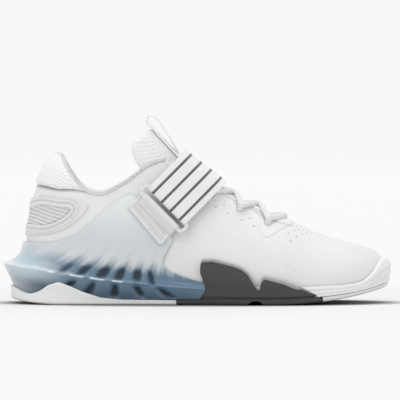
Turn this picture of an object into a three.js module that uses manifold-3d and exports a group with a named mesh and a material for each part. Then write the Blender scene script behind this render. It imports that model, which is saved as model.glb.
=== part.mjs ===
// A weightlifting shoe for the right foot, in millimetres: +X to the toe, +Y to the inner side of the foot, +Z up.
// The origin lies on the floor under the middle of the heel.
import * as THREE from "three";
import { mergeVertices } from "three/addons/utils/BufferGeometryUtils.js";
import Module from "manifold-3d";

const wasm = await Module();
wasm.setup();

// Driving sizes of the shoe
const LENGTH = 300; // heel spur to toe bumper
const HEEL_TO_ORIGIN = 55; // heel spur to the origin
const BALL_WIDTH = 104; // upper across the ball of the foot
const COLLAR_HEIGHT = 115; // floor to the top of the heel collar
const HEEL_STACK = 28; // floor to the upper's lower edge at the heel
const WALL = 2.2; // wall of the upper
const CLEARANCE = 0.3; // between two pieces that touch

// Sole
const OUTSOLE = 4; // tread thickness
const TOE_TREAD = 2.8; // tread thickness at the toe
const HEEL_BEVEL = 5; // rise of the tread at the back of the heel
const TOE_SPRING = 13; // rise of the tread at the tip of the toe
const CUP_WALL = 3; // heel frame's wall at its upper edge at the back
const WING_WALL = 1.9; // heel frame's wall where it climbs the side
const SLOT_DEPTH = 3; // of the slots between the frame's rays
const SKIRT = 1.8; // heel tread where it climbs the frame
const FIN_WALL = 2.2; // forefoot tread where it climbs the upper

// Upper's trim
const PAD = 4.5; // collar padding
const LINING_DEPTH = 30; // how far the padded lining goes down
const COLLAR_ROLL = 2.8; // collar edge above the wall
const KNIT_PAD = 2.4; // knitted pad at the back of the collar
const COUNTER_RIDGE = 1.9; // moulded ring around the heel window
const WINDOW_MESH = 0.7; // mesh in the heel window
const EYESTAY = 0.9; // lace reinforcement
const INSOLE = 4;

// Tongue, loop, strap and laces
const LOOP_WIDTH = 14;
const TAPE = 1.3; // pull loop's tape
const STRAP_WIDTH = 40;
const STRAP = 1.4; // thickness of its webbing
const STRAP_LIFT = 4; // how far its back edge stands off the instep
const STRAP_TILT = 45; // degrees between the strap's edge and the floor
const KEEPER = 2.6; // its thickness
const RING_BAR = 3.2; // thickness of the ring's bars
const RING_SLOT = 5.5; // opening of the ring
const LACE = 4.4; // diameter of a lace

const OUT = "out"; // outer side of the foot, at -Y
const IN = "in"; // inner side, at +Y
const SIDES = [OUT, IN];
const other = (side) => (side === OUT ? IN : OUT);

const along = (share) => share * LENGTH - HEEL_TO_ORIGIN;
const across = (share) => share * BALL_WIDTH;
const up = (share) => share * COLLAR_HEIGHT;
const mix = (a, b, f) => a + (b - a) * f;
const clamp = (value, low, high) => Math.min(high, Math.max(low, value));
const smooth = (low, high, value) => {
  const f = clamp((value - low) / (high - low), 0, 1);
  return f * f * (3 - 2 * f);
};

// A table with named columns, one row for each section
function table(columns, rows) {
  const names = columns.split(" ");
  return rows.map((row) => Object.fromEntries(names.map((name, i) => [name, row[i]])));
}

// Sections of the last from heel to toe. Each is a rib that starts at the sole line (foot), leans over the belly
// and the shoulder, and ends at the collar, the throat or the ridge of the toe (rim). The columns that end in At are
// shares of LENGTH, Out, In, Gap and Mid are shares of BALL_WIDTH, Up of COLLAR_HEIGHT, and footUp of HEEL_STACK.
const SECTIONS = table(
  "footAt footOut footIn footUp bellyAt bellyOut bellyIn bellyUp shoulderAt shoulderOut shoulderIn shoulderUp rimAt rimGap rimMid rimUp",
  [
    [0.06, 0, 0, 1.0, 0.047, 0, 0, 0.475, 0.086, 0, 0, 0.955, 0.139, 0, 0, 1.0],
    [0.084, 0.202, 0.202, 1.0, 0.07, 0.245, 0.24, 0.47, 0.101, 0.17, 0.165, 0.91, 0.149, 0.118, 0, 0.975],
    [0.133, 0.279, 0.275, 0.98, 0.121, 0.332, 0.325, 0.44, 0.138, 0.265, 0.26, 0.79, 0.168, 0.225, 0, 0.885],
    [0.192, 0.31, 0.303, 0.95, 0.187, 0.366, 0.352, 0.42, 0.195, 0.312, 0.305, 0.665, 0.205, 0.275, 0, 0.768],
    [0.255, 0.322, 0.298, 0.9, 0.252, 0.376, 0.343, 0.4, 0.255, 0.325, 0.308, 0.625, 0.257, 0.287, -0.003, 0.732],
    [0.319, 0.33, 0.279, 0.82, 0.319, 0.383, 0.328, 0.39, 0.319, 0.322, 0.298, 0.7, 0.319, 0.279, -0.006, 0.812],
    [0.379, 0.342, 0.264, 0.72, 0.379, 0.398, 0.328, 0.4, 0.379, 0.305, 0.28, 0.82, 0.38, 0.25, -0.008, 0.925],
    [0.439, 0.362, 0.27, 0.61, 0.439, 0.424, 0.345, 0.41, 0.439, 0.29, 0.27, 0.885, 0.439, 0.205, -0.008, 0.952],
    [0.521, 0.398, 0.312, 0.48, 0.521, 0.475, 0.4, 0.37, 0.521, 0.31, 0.285, 0.765, 0.521, 0.158, -0.004, 0.806],
    [0.607, 0.432, 0.372, 0.39, 0.607, 0.527, 0.47, 0.335, 0.607, 0.33, 0.31, 0.66, 0.607, 0.122, 0, 0.689],
    [0.669, 0.444, 0.42, 0.37, 0.669, 0.55, 0.525, 0.31, 0.67, 0.335, 0.325, 0.588, 0.678, 0.096, 0.01, 0.597],
    [0.722, 0.436, 0.442, 0.37, 0.722, 0.54, 0.545, 0.295, 0.73, 0.325, 0.335, 0.556, 0.737, 0.068, 0.015, 0.554],
    [0.775, 0.415, 0.444, 0.39, 0.776, 0.51, 0.545, 0.28, 0.765, 0.29, 0.33, 0.538, 0.7535, 0, 0.018, 0.541],
    [0.84, 0.361, 0.423, 0.45, 0.845, 0.445, 0.51, 0.268, 0.817, 0.235, 0.29, 0.472, 0.814, 0, 0.026, 0.47],
    [0.908, 0.257, 0.36, 0.56, 0.923, 0.32, 0.43, 0.262, 0.882, 0.165, 0.235, 0.426, 0.874, 0, 0.036, 0.424],
    [0.955, 0.108, 0.268, 0.66, 0.978, 0.135, 0.31, 0.262, 0.938, 0.055, 0.16, 0.388, 0.918, 0, 0.045, 0.392],
    [0.976, -0.087, 0.087, 0.72, 1.002, -0.087, 0.087, 0.262, 0.973, -0.07, 0.07, 0.358, 0.938, 0, 0.052, 0.376],
  ],
);
const LAST_SECTION = SECTIONS.length - 1;
const THROAT_END = SECTIONS.findIndex((s, i) => i > 0 && s.rimGap === 0) / LAST_SECTION;

// Cubic through four evenly spaced values, from the second to the third
function cubic(a, b, c, d, f) {
  return b + 0.5 * f * (c - a + f * (2 * a - 5 * b + 4 * c - d + f * (3 * (b - c) + d - a)));
}

// A section's values as real lengths, with the side's sign on what lies across
function sectionOf(index, side) {
  const mirrored = index < 0 || index > LAST_SECTION;
  const row = SECTIONS[mirrored ? (index < 0 ? -index : 2 * LAST_SECTION - index) : index];
  const outer = (side === OUT) !== mirrored;
  const reach = (name) => (outer ? -across(row[name + "Out"]) : across(row[name + "In"]));
  return [
    along(row.footAt), reach("foot"), HEEL_STACK * row.footUp,
    along(row.bellyAt), reach("belly"), up(row.bellyUp),
    along(row.shoulderAt), reach("shoulder"), up(row.shoulderUp),
    along(row.rimAt), across(row.rimMid), up(row.rimUp),
    across(row.rimGap) * (mirrored ? -1 : 1),
  ];
}

// The four control points of the rib at u, from 0 at the heel to 1 at the toe
const ribs = new Map();
function rib(u, side) {
  if (u < 0) return rib(-u, other(side));
  if (u > 1) return rib(2 - u, other(side));
  const key = side + u;
  if (ribs.has(key)) return ribs.get(key);
  const place = clamp(u * LAST_SECTION, 0, LAST_SECTION);
  const index = Math.min(Math.floor(place + 1e-9), LAST_SECTION);
  const f = Math.max(place - index, 0);
  const rows = [-1, 0, 1, 2].map((step) => sectionOf(Math.min(index + step, 2 * LAST_SECTION), side));
  const value = (i) => cubic(rows[0][i], rows[1][i], rows[2][i], rows[3][i], f);
  const gap = u > THROAT_END - 1e-9 ? 0 : Math.max(value(12), 0);
  const made = [0, 3, 6, 9].map((i) => new THREE.Vector3(value(i), value(i + 1), value(i + 2)));
  made[3].y += side === OUT ? -gap : gap;
  ribs.set(key, made);
  return made;
}

// A point of the upper's outer face, with t from 0 at the sole line to 1 at the rim
function surface(u, side, t) {
  const [a, b, c, d] = rib(u, side);
  const s = 1 - t;
  return new THREE.Vector3()
    .addScaledVector(a, s * s * s)
    .addScaledVector(b, 3 * s * s * t)
    .addScaledVector(c, 3 * s * t * t)
    .addScaledVector(d, t * t * t);
}

const STEP = 1e-3; // for slopes
function normalOn(u, side, t) {
  const low = Math.max(t - STEP, 0);
  const high = Math.min(t + STEP, 1);
  const rise = surface(u, side, high).sub(surface(u, side, low));
  const run = surface(u + STEP, side, t).sub(surface(u - STEP, side, t));
  if (side === IN) run.negate();
  if (u < STEP || u > 1 - STEP) run.set(0, u < STEP ? -1 : 1, 0);
  return run.cross(rise).normalize();
}

function normal(u, side, t) {
  const ridge = t > 1 - 1e-9 && u > THROAT_END - 1e-9;
  if (u < 1e-9 || u > 1 - 1e-9) {
    const n = normalOn(u, OUT, t);
    return u < 1e-9 ? n.setY(0).normalize() : n.normalize();
  }
  if (!ridge) return normalOn(u, side, t);
  return normalOn(u, OUT, t).add(normalOn(u, IN, t)).normalize();
}

const raised = (u, side, t, height) => surface(u, side, t).addScaledVector(normal(u, side, t), height);

// The share up the rib at u that lies at height z
function shareAt(u, side, z) {
  let low = 0;
  let high = 1;
  for (let i = 0; i < 22; i++) {
    const t = (low + high) / 2;
    if (surface(u, side, t).z < z) low = t;
    else high = t;
  }
  return (low + high) / 2;
}

// The place on the upper that the side view shows at x and z
function placeAt(side, x, z) {
  let low = 0;
  let high = 1;
  for (let i = 0; i < 22; i++) {
    const u = (low + high) / 2;
    if (surface(u, side, shareAt(u, side, z)).x < x) low = u;
    else high = u;
  }
  const u = low < 1e-5 ? 0 : (low + high) / 2;
  return { u, t: shareAt(u, side, z) };
}

// The share from heel to toe whose sole line lies at x
function shareAlong(x) {
  let low = 0;
  let high = 1;
  for (let i = 0; i < 26; i++) {
    const u = (low + high) / 2;
    if (rib(u, OUT)[0].x < x) low = u;
    else high = u;
  }
  return low < 1e-5 ? 0 : high > 1 - 1e-5 ? 1 : (low + high) / 2;
}

// A point at height z that stands off the upper's outer face, or off the sole line below it
function beside(u, side, z, off) {
  const t = z > rib(u, side)[0].z ? shareAt(u, side, z) : 0;
  const n = normal(u, side, t);
  const level = Math.hypot(n.x, n.y);
  const p = surface(u, side, t).setZ(z);
  return p.add(new THREE.Vector3(n.x, n.y, 0).multiplyScalar(off / (level * Math.max(level, 0.6))));
}

// Rows of a table read at x: straight between rows, held at the ends
function read(rows, key, name, x) {
  const next = rows.findIndex((row) => row[key] > x);
  if (next === 0) return rows[0][name];
  if (next < 0) return rows[rows.length - 1][name];
  const [a, b] = [rows[next - 1], rows[next]];
  return mix(a[name], b[name], (x - a[key]) / (b[key] - a[key]));
}

// Solids from faces
function geometryOf(positions, triangles) {
  const loose = new THREE.BufferGeometry();
  loose.setAttribute("position", new THREE.Float32BufferAttribute(positions.flatMap((p) => p.toArray()), 3));
  loose.setIndex(triangles.flat());
  const merged = mergeVertices(loose, 1e-3);
  const index = Array.from(merged.index.array);
  const faces = new Map();
  for (let i = 0; i < index.length; i += 3) {
    const face = index.slice(i, i + 3);
    if (new Set(face).size < 3) continue;
    const key = [...face].sort((a, b) => a - b).join();
    if (faces.has(key)) faces.delete(key);
    else faces.set(key, face);
  }
  merged.setIndex([...faces.values()].flat());
  return merged;
}

const count = (length) => Array.from({ length }, (_, i) => i);
const CAPS = {
  flat: (size, flat) => THREE.ShapeUtils.triangulateShape([...flat], []),
  fan: (size) => count(size - 2).map((k) => [0, k + 1, k + 2]),
  strip: (size) => count(size / 2 - 1).flatMap((k) => [[k, k + 1, size - 1 - k], [k + 1, size - 2 - k, size - 1 - k]]),
};

// A closed body over rings of points. A ring that shrinks to a line closes it, and so does a flat cap; faces that
// meet back to back, as where two halves of the upper join along the ridge, cancel out. A fan closes a round ring, and a strip a thin one.
function loft(rings, { loop = false, cap = "flat", capAcross = ["y", "z"] } = {}) {
  const size = rings[0].length;
  const points = rings.flat();
  const triangles = [];
  for (let i = 0; i < (loop ? rings.length : rings.length - 1); i++) {
    const next = (i + 1) % rings.length;
    for (let j = 0; j < size; j++) {
      const [a, b] = [i * size + j, i * size + ((j + 1) % size)];
      const [d, c] = [next * size + j, next * size + ((j + 1) % size)];
      const cut = points[a].distanceTo(points[c]) < points[b].distanceTo(points[d]) - 1e-6;
      triangles.push(...(cut ? [[a, b, c], [a, c, d]] : [[a, b, d], [b, c, d]]));
    }
  }
  if (!loop)
    for (const [start, turned] of [[0, true], [(rings.length - 1) * size, false]]) {
      const flat = points.slice(start, start + size).map((p) => new THREE.Vector2(p[capAcross[0]], p[capAcross[1]]));
      const ringTurn = THREE.ShapeUtils.area(flat);
      if (cap === "flat" && Math.abs(ringTurn) < 0.2) continue;
      for (const face of CAPS[cap](size, flat)) {
        const [a, b, c] = face.map((k) => start + k);
        const withRing = cap !== "flat" || THREE.ShapeUtils.area(face.map((k) => flat[k])) > 0 === ringTurn > 0;
        triangles.push(withRing !== turned ? [a, b, c] : [a, c, b]);
      }
    }
  return geometryOf(points, triangles);
}

const enclosed = (g) => {
  const p = g.attributes.position;
  let sum = 0;
  const [a, b, c] = [0, 1, 2].map(() => new THREE.Vector3());
  for (let i = 0; i < g.index.count; i += 3) {
    a.fromBufferAttribute(p, g.index.getX(i));
    b.fromBufferAttribute(p, g.index.getX(i + 1));
    c.fromBufferAttribute(p, g.index.getX(i + 2));
    sum += a.dot(b.cross(c));
  }
  return sum;
};

// Turns a body's faces outwards, and hands it to the boolean tools
function facingOut(g) {
  if (enclosed(g) > 0) return g;
  const index = Array.from(g.index.array);
  for (let i = 0; i < index.length; i += 3) [index[i + 1], index[i + 2]] = [index[i + 2], index[i + 1]];
  g.setIndex(index);
  return g;
}

function solid(geometry) {
  const bare = new THREE.BufferGeometry().setAttribute("position", geometry.getAttribute("position").clone());
  if (geometry.index) bare.setIndex(geometry.index.clone());
  const g = facingOut(mergeVertices(bare, 1e-3));
  return new wasm.Manifold(
    new wasm.Mesh({
      numProp: 3,
      vertProperties: g.attributes.position.array,
      triVerts: new Uint32Array(g.index.array),
    }),
  );
}

const joined = (solids) => solids.reduce((all, one) => all.add(one));

function backToGeometry(body) {
  const mesh = body.getMesh();
  const g = new THREE.BufferGeometry();
  const positions = new Float32Array(mesh.numVert * 3);
  for (let i = 0; i < mesh.numVert; i++)
    positions.set(mesh.vertProperties.subarray(i * mesh.numProp, i * mesh.numProp + 3), i * 3);
  g.setAttribute("position", new THREE.BufferAttribute(positions, 3));
  g.setIndex(new THREE.BufferAttribute(mesh.triVerts, 1));
  return g;
}

const shares = (count, low = 0, high = 1) => Array.from({ length: count + 1 }, (_, i) => mix(low, high, i / count));

// Stations right round the shoe: heel, outer side, toe, inner side
const SECTION_STEPS = 2;
const stations = shares(LAST_SECTION * SECTION_STEPS);
const roundTheShoe = [
  ...stations.map((u) => [u, OUT]),
  ...stations.slice(1, -1).reverse().map((u) => [u, IN]),
];

// Upper: one hollow wall, open at the collar and throat and underneath
const RIB_STEPS = 6;
const HEIGHTS = shares(RIB_STEPS);
function makeUpper() {
  const rings = roundTheShoe.map(([u, side]) => [
    ...HEIGHTS.map((t) => surface(u, side, t)),
    ...[...HEIGHTS].reverse().map((t) => raised(u, side, t, -WALL)),
  ]);
  return solid(loft(rings, { loop: true }));
}

// The whole foot form inside a face that stands off the upper's outer face. With a lip it goes on past the rim.
function form(off, lip = 0) {
  const half = (u, side) => {
    const points = HEIGHTS.map((t) => raised(u, side, t, off));
    points[0].z -= Math.max(off, 0);
    const rim = surface(u, side, 1);
    const reach = Math.min(lip, Math.abs(rim.y - surface(u, other(side), 1).y) / 5);
    const climb = rim.clone().sub(surface(u, side, 0.98)).normalize();
    return [...points, points[RIB_STEPS].clone().addScaledVector(climb, reach)];
  };
  return solid(loft(stations.map((u) => [...half(u, OUT), ...half(u, IN).reverse()])));
}

// An outline in the side view, given in shares of LENGTH and COLLAR_HEIGHT and moved outwards by grow
function outlineOf(shares, grow = 0) {
  const points = shares.map(([at, rise]) => new THREE.Vector2(along(at), up(rise)));
  if (THREE.ShapeUtils.area(points) < 0) points.reverse();
  return points.map((p, i) => {
    const before = p.clone().sub(points.at(i - 1)).normalize();
    const after = points[(i + 1) % points.length].clone().sub(p).normalize();
    const out = new THREE.Vector2(before.y + after.y, -before.x - after.x);
    return p.clone().addScaledVector(out, (2 * grow) / Math.max(out.lengthSq(), 1));
  });
}

// Straight prism over an outline, across the shoe between two distances
function prismAcross(outline, low, high) {
  const block = new THREE.ExtrudeGeometry(new THREE.Shape(outline), { depth: high - low, bevelEnabled: false });
  return solid(block.rotateX(Math.PI / 2).translate(0, high, 0));
}
const sidePrism = (shares, side, grow) =>
  prismAcross(outlineOf(shares, grow), side === IN ? 0 : -BALL_WIDTH, side === OUT ? 0 : BALL_WIDTH);

// Everything between two distances along the shoe
function between(low, high) {
  const block = new THREE.BoxGeometry(high - low, 4 * BALL_WIDTH, 4 * COLLAR_HEIGHT);
  return solid(block.translate((low + high) / 2, 0, 0));
}

// A cover that lies on the upper between two heights, inside an outline in the side view
function cover(low, high, outline, side, grow) {
  return sidePrism(outline, side, grow).intersect(form(high).subtract(form(low, 8)));
}

// Half-sections run from heel to toe and are joined across the shoe
function sole(fromShare, toShare, half, extra = []) {
  const from = fromShare <= SECTIONS[0].footAt ? 0 : shareAlong(along(fromShare));
  const to = toShare >= SECTIONS[LAST_SECTION].footAt ? 1 : shareAlong(along(toShare));
  const between = [...stations, ...extra.map((at) => shareAlong(along(at)))];
  const us = [from, ...between.filter((u) => u > from + 1e-4 && u < to - 1e-4).sort((a, b) => a - b), to];
  return solid(loft(us.map((u) => [...half(u, OUT), ...half(u, IN).reverse()])));
}
const shareOf = (u) => (rib(u, OUT)[0].x + HEEL_TO_ORIGIN) / LENGTH;

// Floor line of the tread: flat under heel and ball, lifted at the heel's edge and at the toe
const BEVEL_FROM = along(0.152);
const SPRING_FROM = along(0.67);
function ground(x) {
  const heel = clamp((BEVEL_FROM - x) / (BEVEL_FROM - along(0)), 0, 1);
  const toe = clamp((x - SPRING_FROM) / (along(1) - SPRING_FROM), 0, 1);
  return HEEL_BEVEL * heel ** 1.8 + TOE_SPRING * toe ** 2.2;
}
const treadAt = (share) => mix(OUTSOLE, TOE_TREAD, smooth(0.75, 0.95, share));

// A point beside the foot form that stands a height above the floor line
function aboveGround(u, side, height, off) {
  const p = beside(u, side, 12, off);
  return p.setZ(ground(p.x) + height);
}

// Heel frame: a clear cup that flares to a sharp ridge low on its side and climbs the side as a wing. ridgeUp and
// fade are shares of COLLAR_HEIGHT, ridgeOff and baseOff are shares of BALL_WIDTH.
const RIDGE = table("footAt ridgeUp ridgeOff baseOff fade", [
  [0.06, 0.274, 0.162, 0.07, 0.031],
  [0.084, 0.25, 0.132, 0.066, 0.037],
  [0.133, 0.22, 0.103, 0.06, 0.05],
  [0.192, 0.194, 0.09, 0.055, 0.06],
  [0.255, 0.168, 0.084, 0.05, 0.06],
  [0.319, 0.15, 0.08, 0.048, 0.055],
  [0.38, 0.135, 0.074, 0.046, 0.05],
  [0.44, 0.12, 0.066, 0.044, 0.045],
  [0.52, 0.105, 0.055, 0.04, 0.04],
]);
// Where each ray of the frame starts at the sole line and ends at the frame's upper edge, as the side view shows it.
// The inner side climbs less.
const RAYS = table("footAt topAt topUp topUpIn", [
  [0.06, 0.05, 0.411, 0.411],
  [0.084, 0.066, 0.414, 0.414],
  [0.108, 0.09, 0.413, 0.413],
  [0.133, 0.12, 0.412, 0.412],
  [0.163, 0.152, 0.43, 0.42],
  [0.195, 0.188, 0.468, 0.44],
  [0.232, 0.232, 0.555, 0.48],
  [0.265, 0.27, 0.642, 0.525],
  [0.292, 0.302, 0.704, 0.56],
  [0.314, 0.324, 0.735, 0.575],
  [0.334, 0.352, 0.708, 0.565],
  [0.352, 0.395, 0.6, 0.51],
  [0.372, 0.438, 0.45, 0.42],
  [0.393, 0.422, 0.36, 0.35],
  [0.413, 0.413, 0.305, 0.3],
  [0.434, 0.416, 0.262, 0.262],
  [0.455, 0.43, 0.228, 0.228],
  [0.482, 0.46, 0.193, 0.193],
  [0.516, 0.508, 0.152, 0.152],
  [0.535, 0.53, 0.14, 0.14],
]);
const FRAME_FRONT = 0.512;

function frameOff(share, z, wall) {
  const ridge = up(read(RIDGE, "footAt", "ridgeUp", share));
  const flare = across(read(RIDGE, "footAt", "ridgeOff", share));
  const base = across(read(RIDGE, "footAt", "baseOff", share));
  if (z <= ridge) return mix(base, flare, clamp((z - OUTSOLE) / (ridge - OUTSOLE), 0, 1) ** 1.2);
  return wall + (flare - wall) * Math.exp((ridge - z) / up(read(RIDGE, "footAt", "fade", share)));
}

function frameRay(ray, side, grow) {
  const u = ray.footAt <= SECTIONS[0].footAt ? 0 : shareAlong(along(ray.footAt));
  const topZ = up(side === OUT ? ray.topUp : ray.topUpIn);
  const topU = u === 0 ? 0 : placeAt(side, along(ray.topAt), topZ).u;
  const ridgeZ = up(read(RIDGE, "footAt", "ridgeUp", ray.footAt));
  const wall = mix(CUP_WALL, WING_WALL, smooth(0.06, 0.25, ray.footAt)) + CLEARANCE;
  const uAt = (z) => mix(u, topU, clamp((z - ridgeZ) / (topZ - ridgeZ), 0, 1));
  const off = (z) => frameOff(ray.footAt, z, wall) + grow;
  return [
    aboveGround(u, side, OUTSOLE + CLEARANCE - grow, off(0)),
    ...[mix(OUTSOLE, ridgeZ, 0.6), ridgeZ, ...[0.07, 0.18, 0.34, 0.55, 0.8].map((f) => mix(ridgeZ, topZ, f))].map(
      (z) => beside(uAt(z), side, z, off(z)),
    ),
    beside(topU, side, topZ + grow, off(topZ)),
    beside(topU, side, topZ + grow, -3),
  ];
}
const frameForm = (grow) =>
  solid(loft(RAYS.map((ray) => [...frameRay(ray, OUT, grow), ...frameRay(ray, IN, grow).reverse()]))).intersect(
    between(-LENGTH, along(FRAME_FRONT) + grow),
  );

// Slots between the frame's rays, as the side view shows them
const SLOTS = [
  [[0.14, 0.212], [0.154, 0.215], [0.181, 0.265], [0.16, 0.251]],
  [[0.192, 0.206], [0.212, 0.21], [0.23, 0.26], [0.205, 0.242]],
  [[0.242, 0.193], [0.265, 0.188], [0.277, 0.245], [0.256, 0.238]],
  [[0.289, 0.183], [0.306, 0.17], [0.316, 0.236], [0.301, 0.233]],
  [[0.337, 0.174], [0.354, 0.167], [0.355, 0.224], [0.34, 0.221]],
  [[0.378, 0.156], [0.391, 0.14], [0.384, 0.212], [0.374, 0.218]],
  [[0.16, 0.118], [0.18, 0.12], [0.191, 0.156], [0.173, 0.156]],
  [[0.211, 0.07], [0.23, 0.07], [0.24, 0.138], [0.226, 0.137]],
  [[0.28, 0.057], [0.298, 0.057], [0.296, 0.127], [0.285, 0.127]],
  [[0.348, 0.066], [0.364, 0.057], [0.353, 0.116], [0.339, 0.116]],
  [[0.417, 0.057], [0.442, 0.047], [0.417, 0.097], [0.4, 0.102]],
];
function slot(corners, side) {
  const at = corners.reduce((sum, c) => sum + c[0], 0) / corners.length;
  const z = up(corners.reduce((sum, c) => sum + c[1], 0) / corners.length);
  const face = beside(shareAlong(along(at)), side, z, frameOff(at, z, WING_WALL)).y;
  const centre = [at, z / COLLAR_HEIGHT];
  const sized = (scale) => corners.map((c) => [0, 1].map((k) => centre[k] + scale * (c[k] - centre[k])));
  const sign = side === OUT ? -1 : 1;
  const ring = (outline, y) => outline.map(([a, b]) => new THREE.Vector3(along(a), y, up(b)));
  return solid(
    loft([ring(sized(1.5), face + sign * 9), ring(sized(0.9), face - sign * SLOT_DEPTH)], { capAcross: ["x", "z"] }),
  );
}

// Forefoot midsole: its upper edge at the side, and how far it stands out there and at its foot
const MIDSOLE = table("footAt topUp topOff baseOff", [
  [0.49, 0.142, 0.022, 0.026],
  [0.516, 0.137, 0.022, 0.026],
  [0.6, 0.128, 0.022, 0.026],
  [0.7, 0.117, 0.022, 0.028],
  [0.75, 0.117, 0.026, 0.036],
  [0.78, 0.122, 0.032, 0.044],
  [0.82, 0.127, 0.034, 0.047],
  [0.87, 0.131, 0.034, 0.047],
  [0.905, 0.141, 0.034, 0.045],
  [0.925, 0.16, 0.033, 0.043],
  [0.94, 0.195, 0.031, 0.042],
  [0.95, 0.228, 0.03, 0.042],
  [0.957, 0.262, 0.028, 0.042],
  [0.966, 0.29, 0.026, 0.042],
  [0.976, 0.302, 0.025, 0.042],
]);
function midsoleHalf(grow) {
  return (u, side) => {
    const share = shareOf(u);
    const [top, topOff, baseOff] = ["topUp", "topOff", "baseOff"].map((name) => read(MIDSOLE, "footAt", name, share));
    const floor = treadAt(share) + CLEARANCE - grow;
    const topZ = up(top) + grow;
    const lowest = aboveGround(u, side, floor, across(baseOff) + grow - 0.8);
    const steps = [[0.15, 1], [0.45, 1], [0.52, 0.75], [0.76, 0.6], [0.83, 0.3], [1, 0]];
    const wall = steps.map(([f, out]) =>
      beside(u, side, mix(lowest.z, topZ, f), across(mix(topOff, baseOff, out)) + grow),
    );
    return [lowest, ...wall, beside(u, side, topZ, -3)];
  };
}
const MIDSOLE_FROM = along(FRAME_FRONT) + CLEARANCE;
const midsoleForm = (grow) =>
  sole(FRAME_FRONT - 0.02, 1, midsoleHalf(grow)).intersect(between(MIDSOLE_FROM - grow, LENGTH));

// Dark tread: its edge climbs the side as two fins
const FINS = table("footAt topUp", [
  [0.4525, 0.033],
  [0.5135, 0.034],
  [0.5165, 0.285],
  [0.522, 0.302],
  [0.5417, 0.304],
  [0.5912, 0.272],
  [0.6142, 0.25],
  [0.6308, 0.218],
  [0.654, 0.12],
  [0.662, 0.112],
  [0.6645, 0.163],
  [0.672, 0.189],
  [0.7233, 0.151],
  [0.753, 0.117],
  [0.7653, 0.12],
  [0.799, 0.069],
  [0.8162, 0.034],
]);
function finHalf(u, side) {
  const share = shareOf(u);
  const topZ = up(read(FINS, "footAt", "topUp", share));
  const base = across(0.052);
  const off = (z) => mix(base, FIN_WALL + CLEARANCE, smooth(6, 34, z));
  return [
    aboveGround(u, side, 0, base - 1.6),
    aboveGround(u, side, 1.2, base - 0.4),
    ...[0.4, 0.7, 1].map((f) => {
      const z = mix(Math.min(2, topZ - 1), topZ, f);
      return beside(u, side, Math.max(z, ground(rib(u, side)[0].x) + 1.4), off(z));
    }),
    beside(u, side, topZ, -3),
  ];
}

// Toe tread, down to the flat edge of the bumper
function toeTreadHalf(u, side) {
  const share = shareOf(u);
  const base = across(read(MIDSOLE, "footAt", "baseOff", share));
  return [
    aboveGround(u, side, 0, base - 2.6),
    aboveGround(u, side, 1.1, base - 1.1),
    aboveGround(u, side, treadAt(share), base - 0.9),
    aboveGround(u, side, treadAt(share), -3),
  ];
}

// Heel tread: its edge climbs the frame in a wave
const WAVE = table("footAt topUp spread", [
  [0.06, 0.122, 0.03],
  [0.084, 0.079, 0.028],
  [0.1, 0.1, 0.024],
  [0.118, 0.13, 0.02],
  [0.139, 0.142, 0.018],
  [0.164, 0.115, 0.015],
  [0.199, 0.08, 0.012],
  [0.244, 0.046, 0.008],
  [0.303, 0.034, 0.004],
  [0.45, 0.031, 0.002],
]);
function waveHalf(u, side) {
  const share = shareOf(u);
  const floor = aboveGround(u, side, 0, across(read(RIDGE, "footAt", "baseOff", share)));
  const topZ = Math.max(up(read(WAVE, "footAt", "topUp", share)), floor.z + 3.4);
  const spread = across(read(WAVE, "footAt", "spread", share));
  const skirt = CLEARANCE + SKIRT * smooth(floor.z + 3, floor.z + 5, topZ);
  const off = (z) => frameOff(share, z, WING_WALL) + skirt + spread * (1 - smooth(0, 11, z - floor.z));
  return [
    aboveGround(u, side, 0, off(0) - 1.4),
    aboveGround(u, side, 1.2, off(0)),
    ...[0.3, 0.6, 1].map((f) => {
      const z = mix(floor.z + 1.2, topZ, f);
      return beside(u, side, z, off(z));
    }),
    beside(u, side, topZ, -3),
  ];
}

// Grooves across the tread between its lugs: where, how wide, how deep, how far they lean
const GROOVES = table("at width depth lean", [
  [0.09, 1.6, 1.4, 0.2],
  [0.135, 1.6, 1.4, 0.2],
  [0.24, 1.6, 1.4, 0.2],
  [0.285, 1.6, 1.4, 0.2],
  [0.33, 1.6, 1.4, 0.1],
  [0.54, 1.8, 1.6, -0.1],
  [0.58, 1.8, 1.6, -0.1],
  [0.72, 1.8, 1.6, 0.15],
  [0.76, 1.8, 1.6, 0.2],
  [0.85, 1.8, 1.3, 0.25],
  [0.885, 1.8, 1.3, 0.3],
  [0.92, 1.8, 1.2, 0.35],
]);
const groove = ({ at, width, depth, lean }) => {
  const block = new THREE.BoxGeometry(width, 2 * BALL_WIDTH, depth + 4);
  return solid(block.rotateZ(lean).translate(along(at), 0, ground(along(at)) + depth / 2 - 2));
};
const grooves = joined(GROOVES.map(groove));
// Arched recess where the ball of the foot bends
const flexRecess = sidePrism(
  [[0.629, -0.03], [0.632, 0.012], [0.64, 0.024], [0.65, 0.028], [0.66, 0.024], [0.668, 0.012], [0.671, -0.03]],
  null,
);

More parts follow.
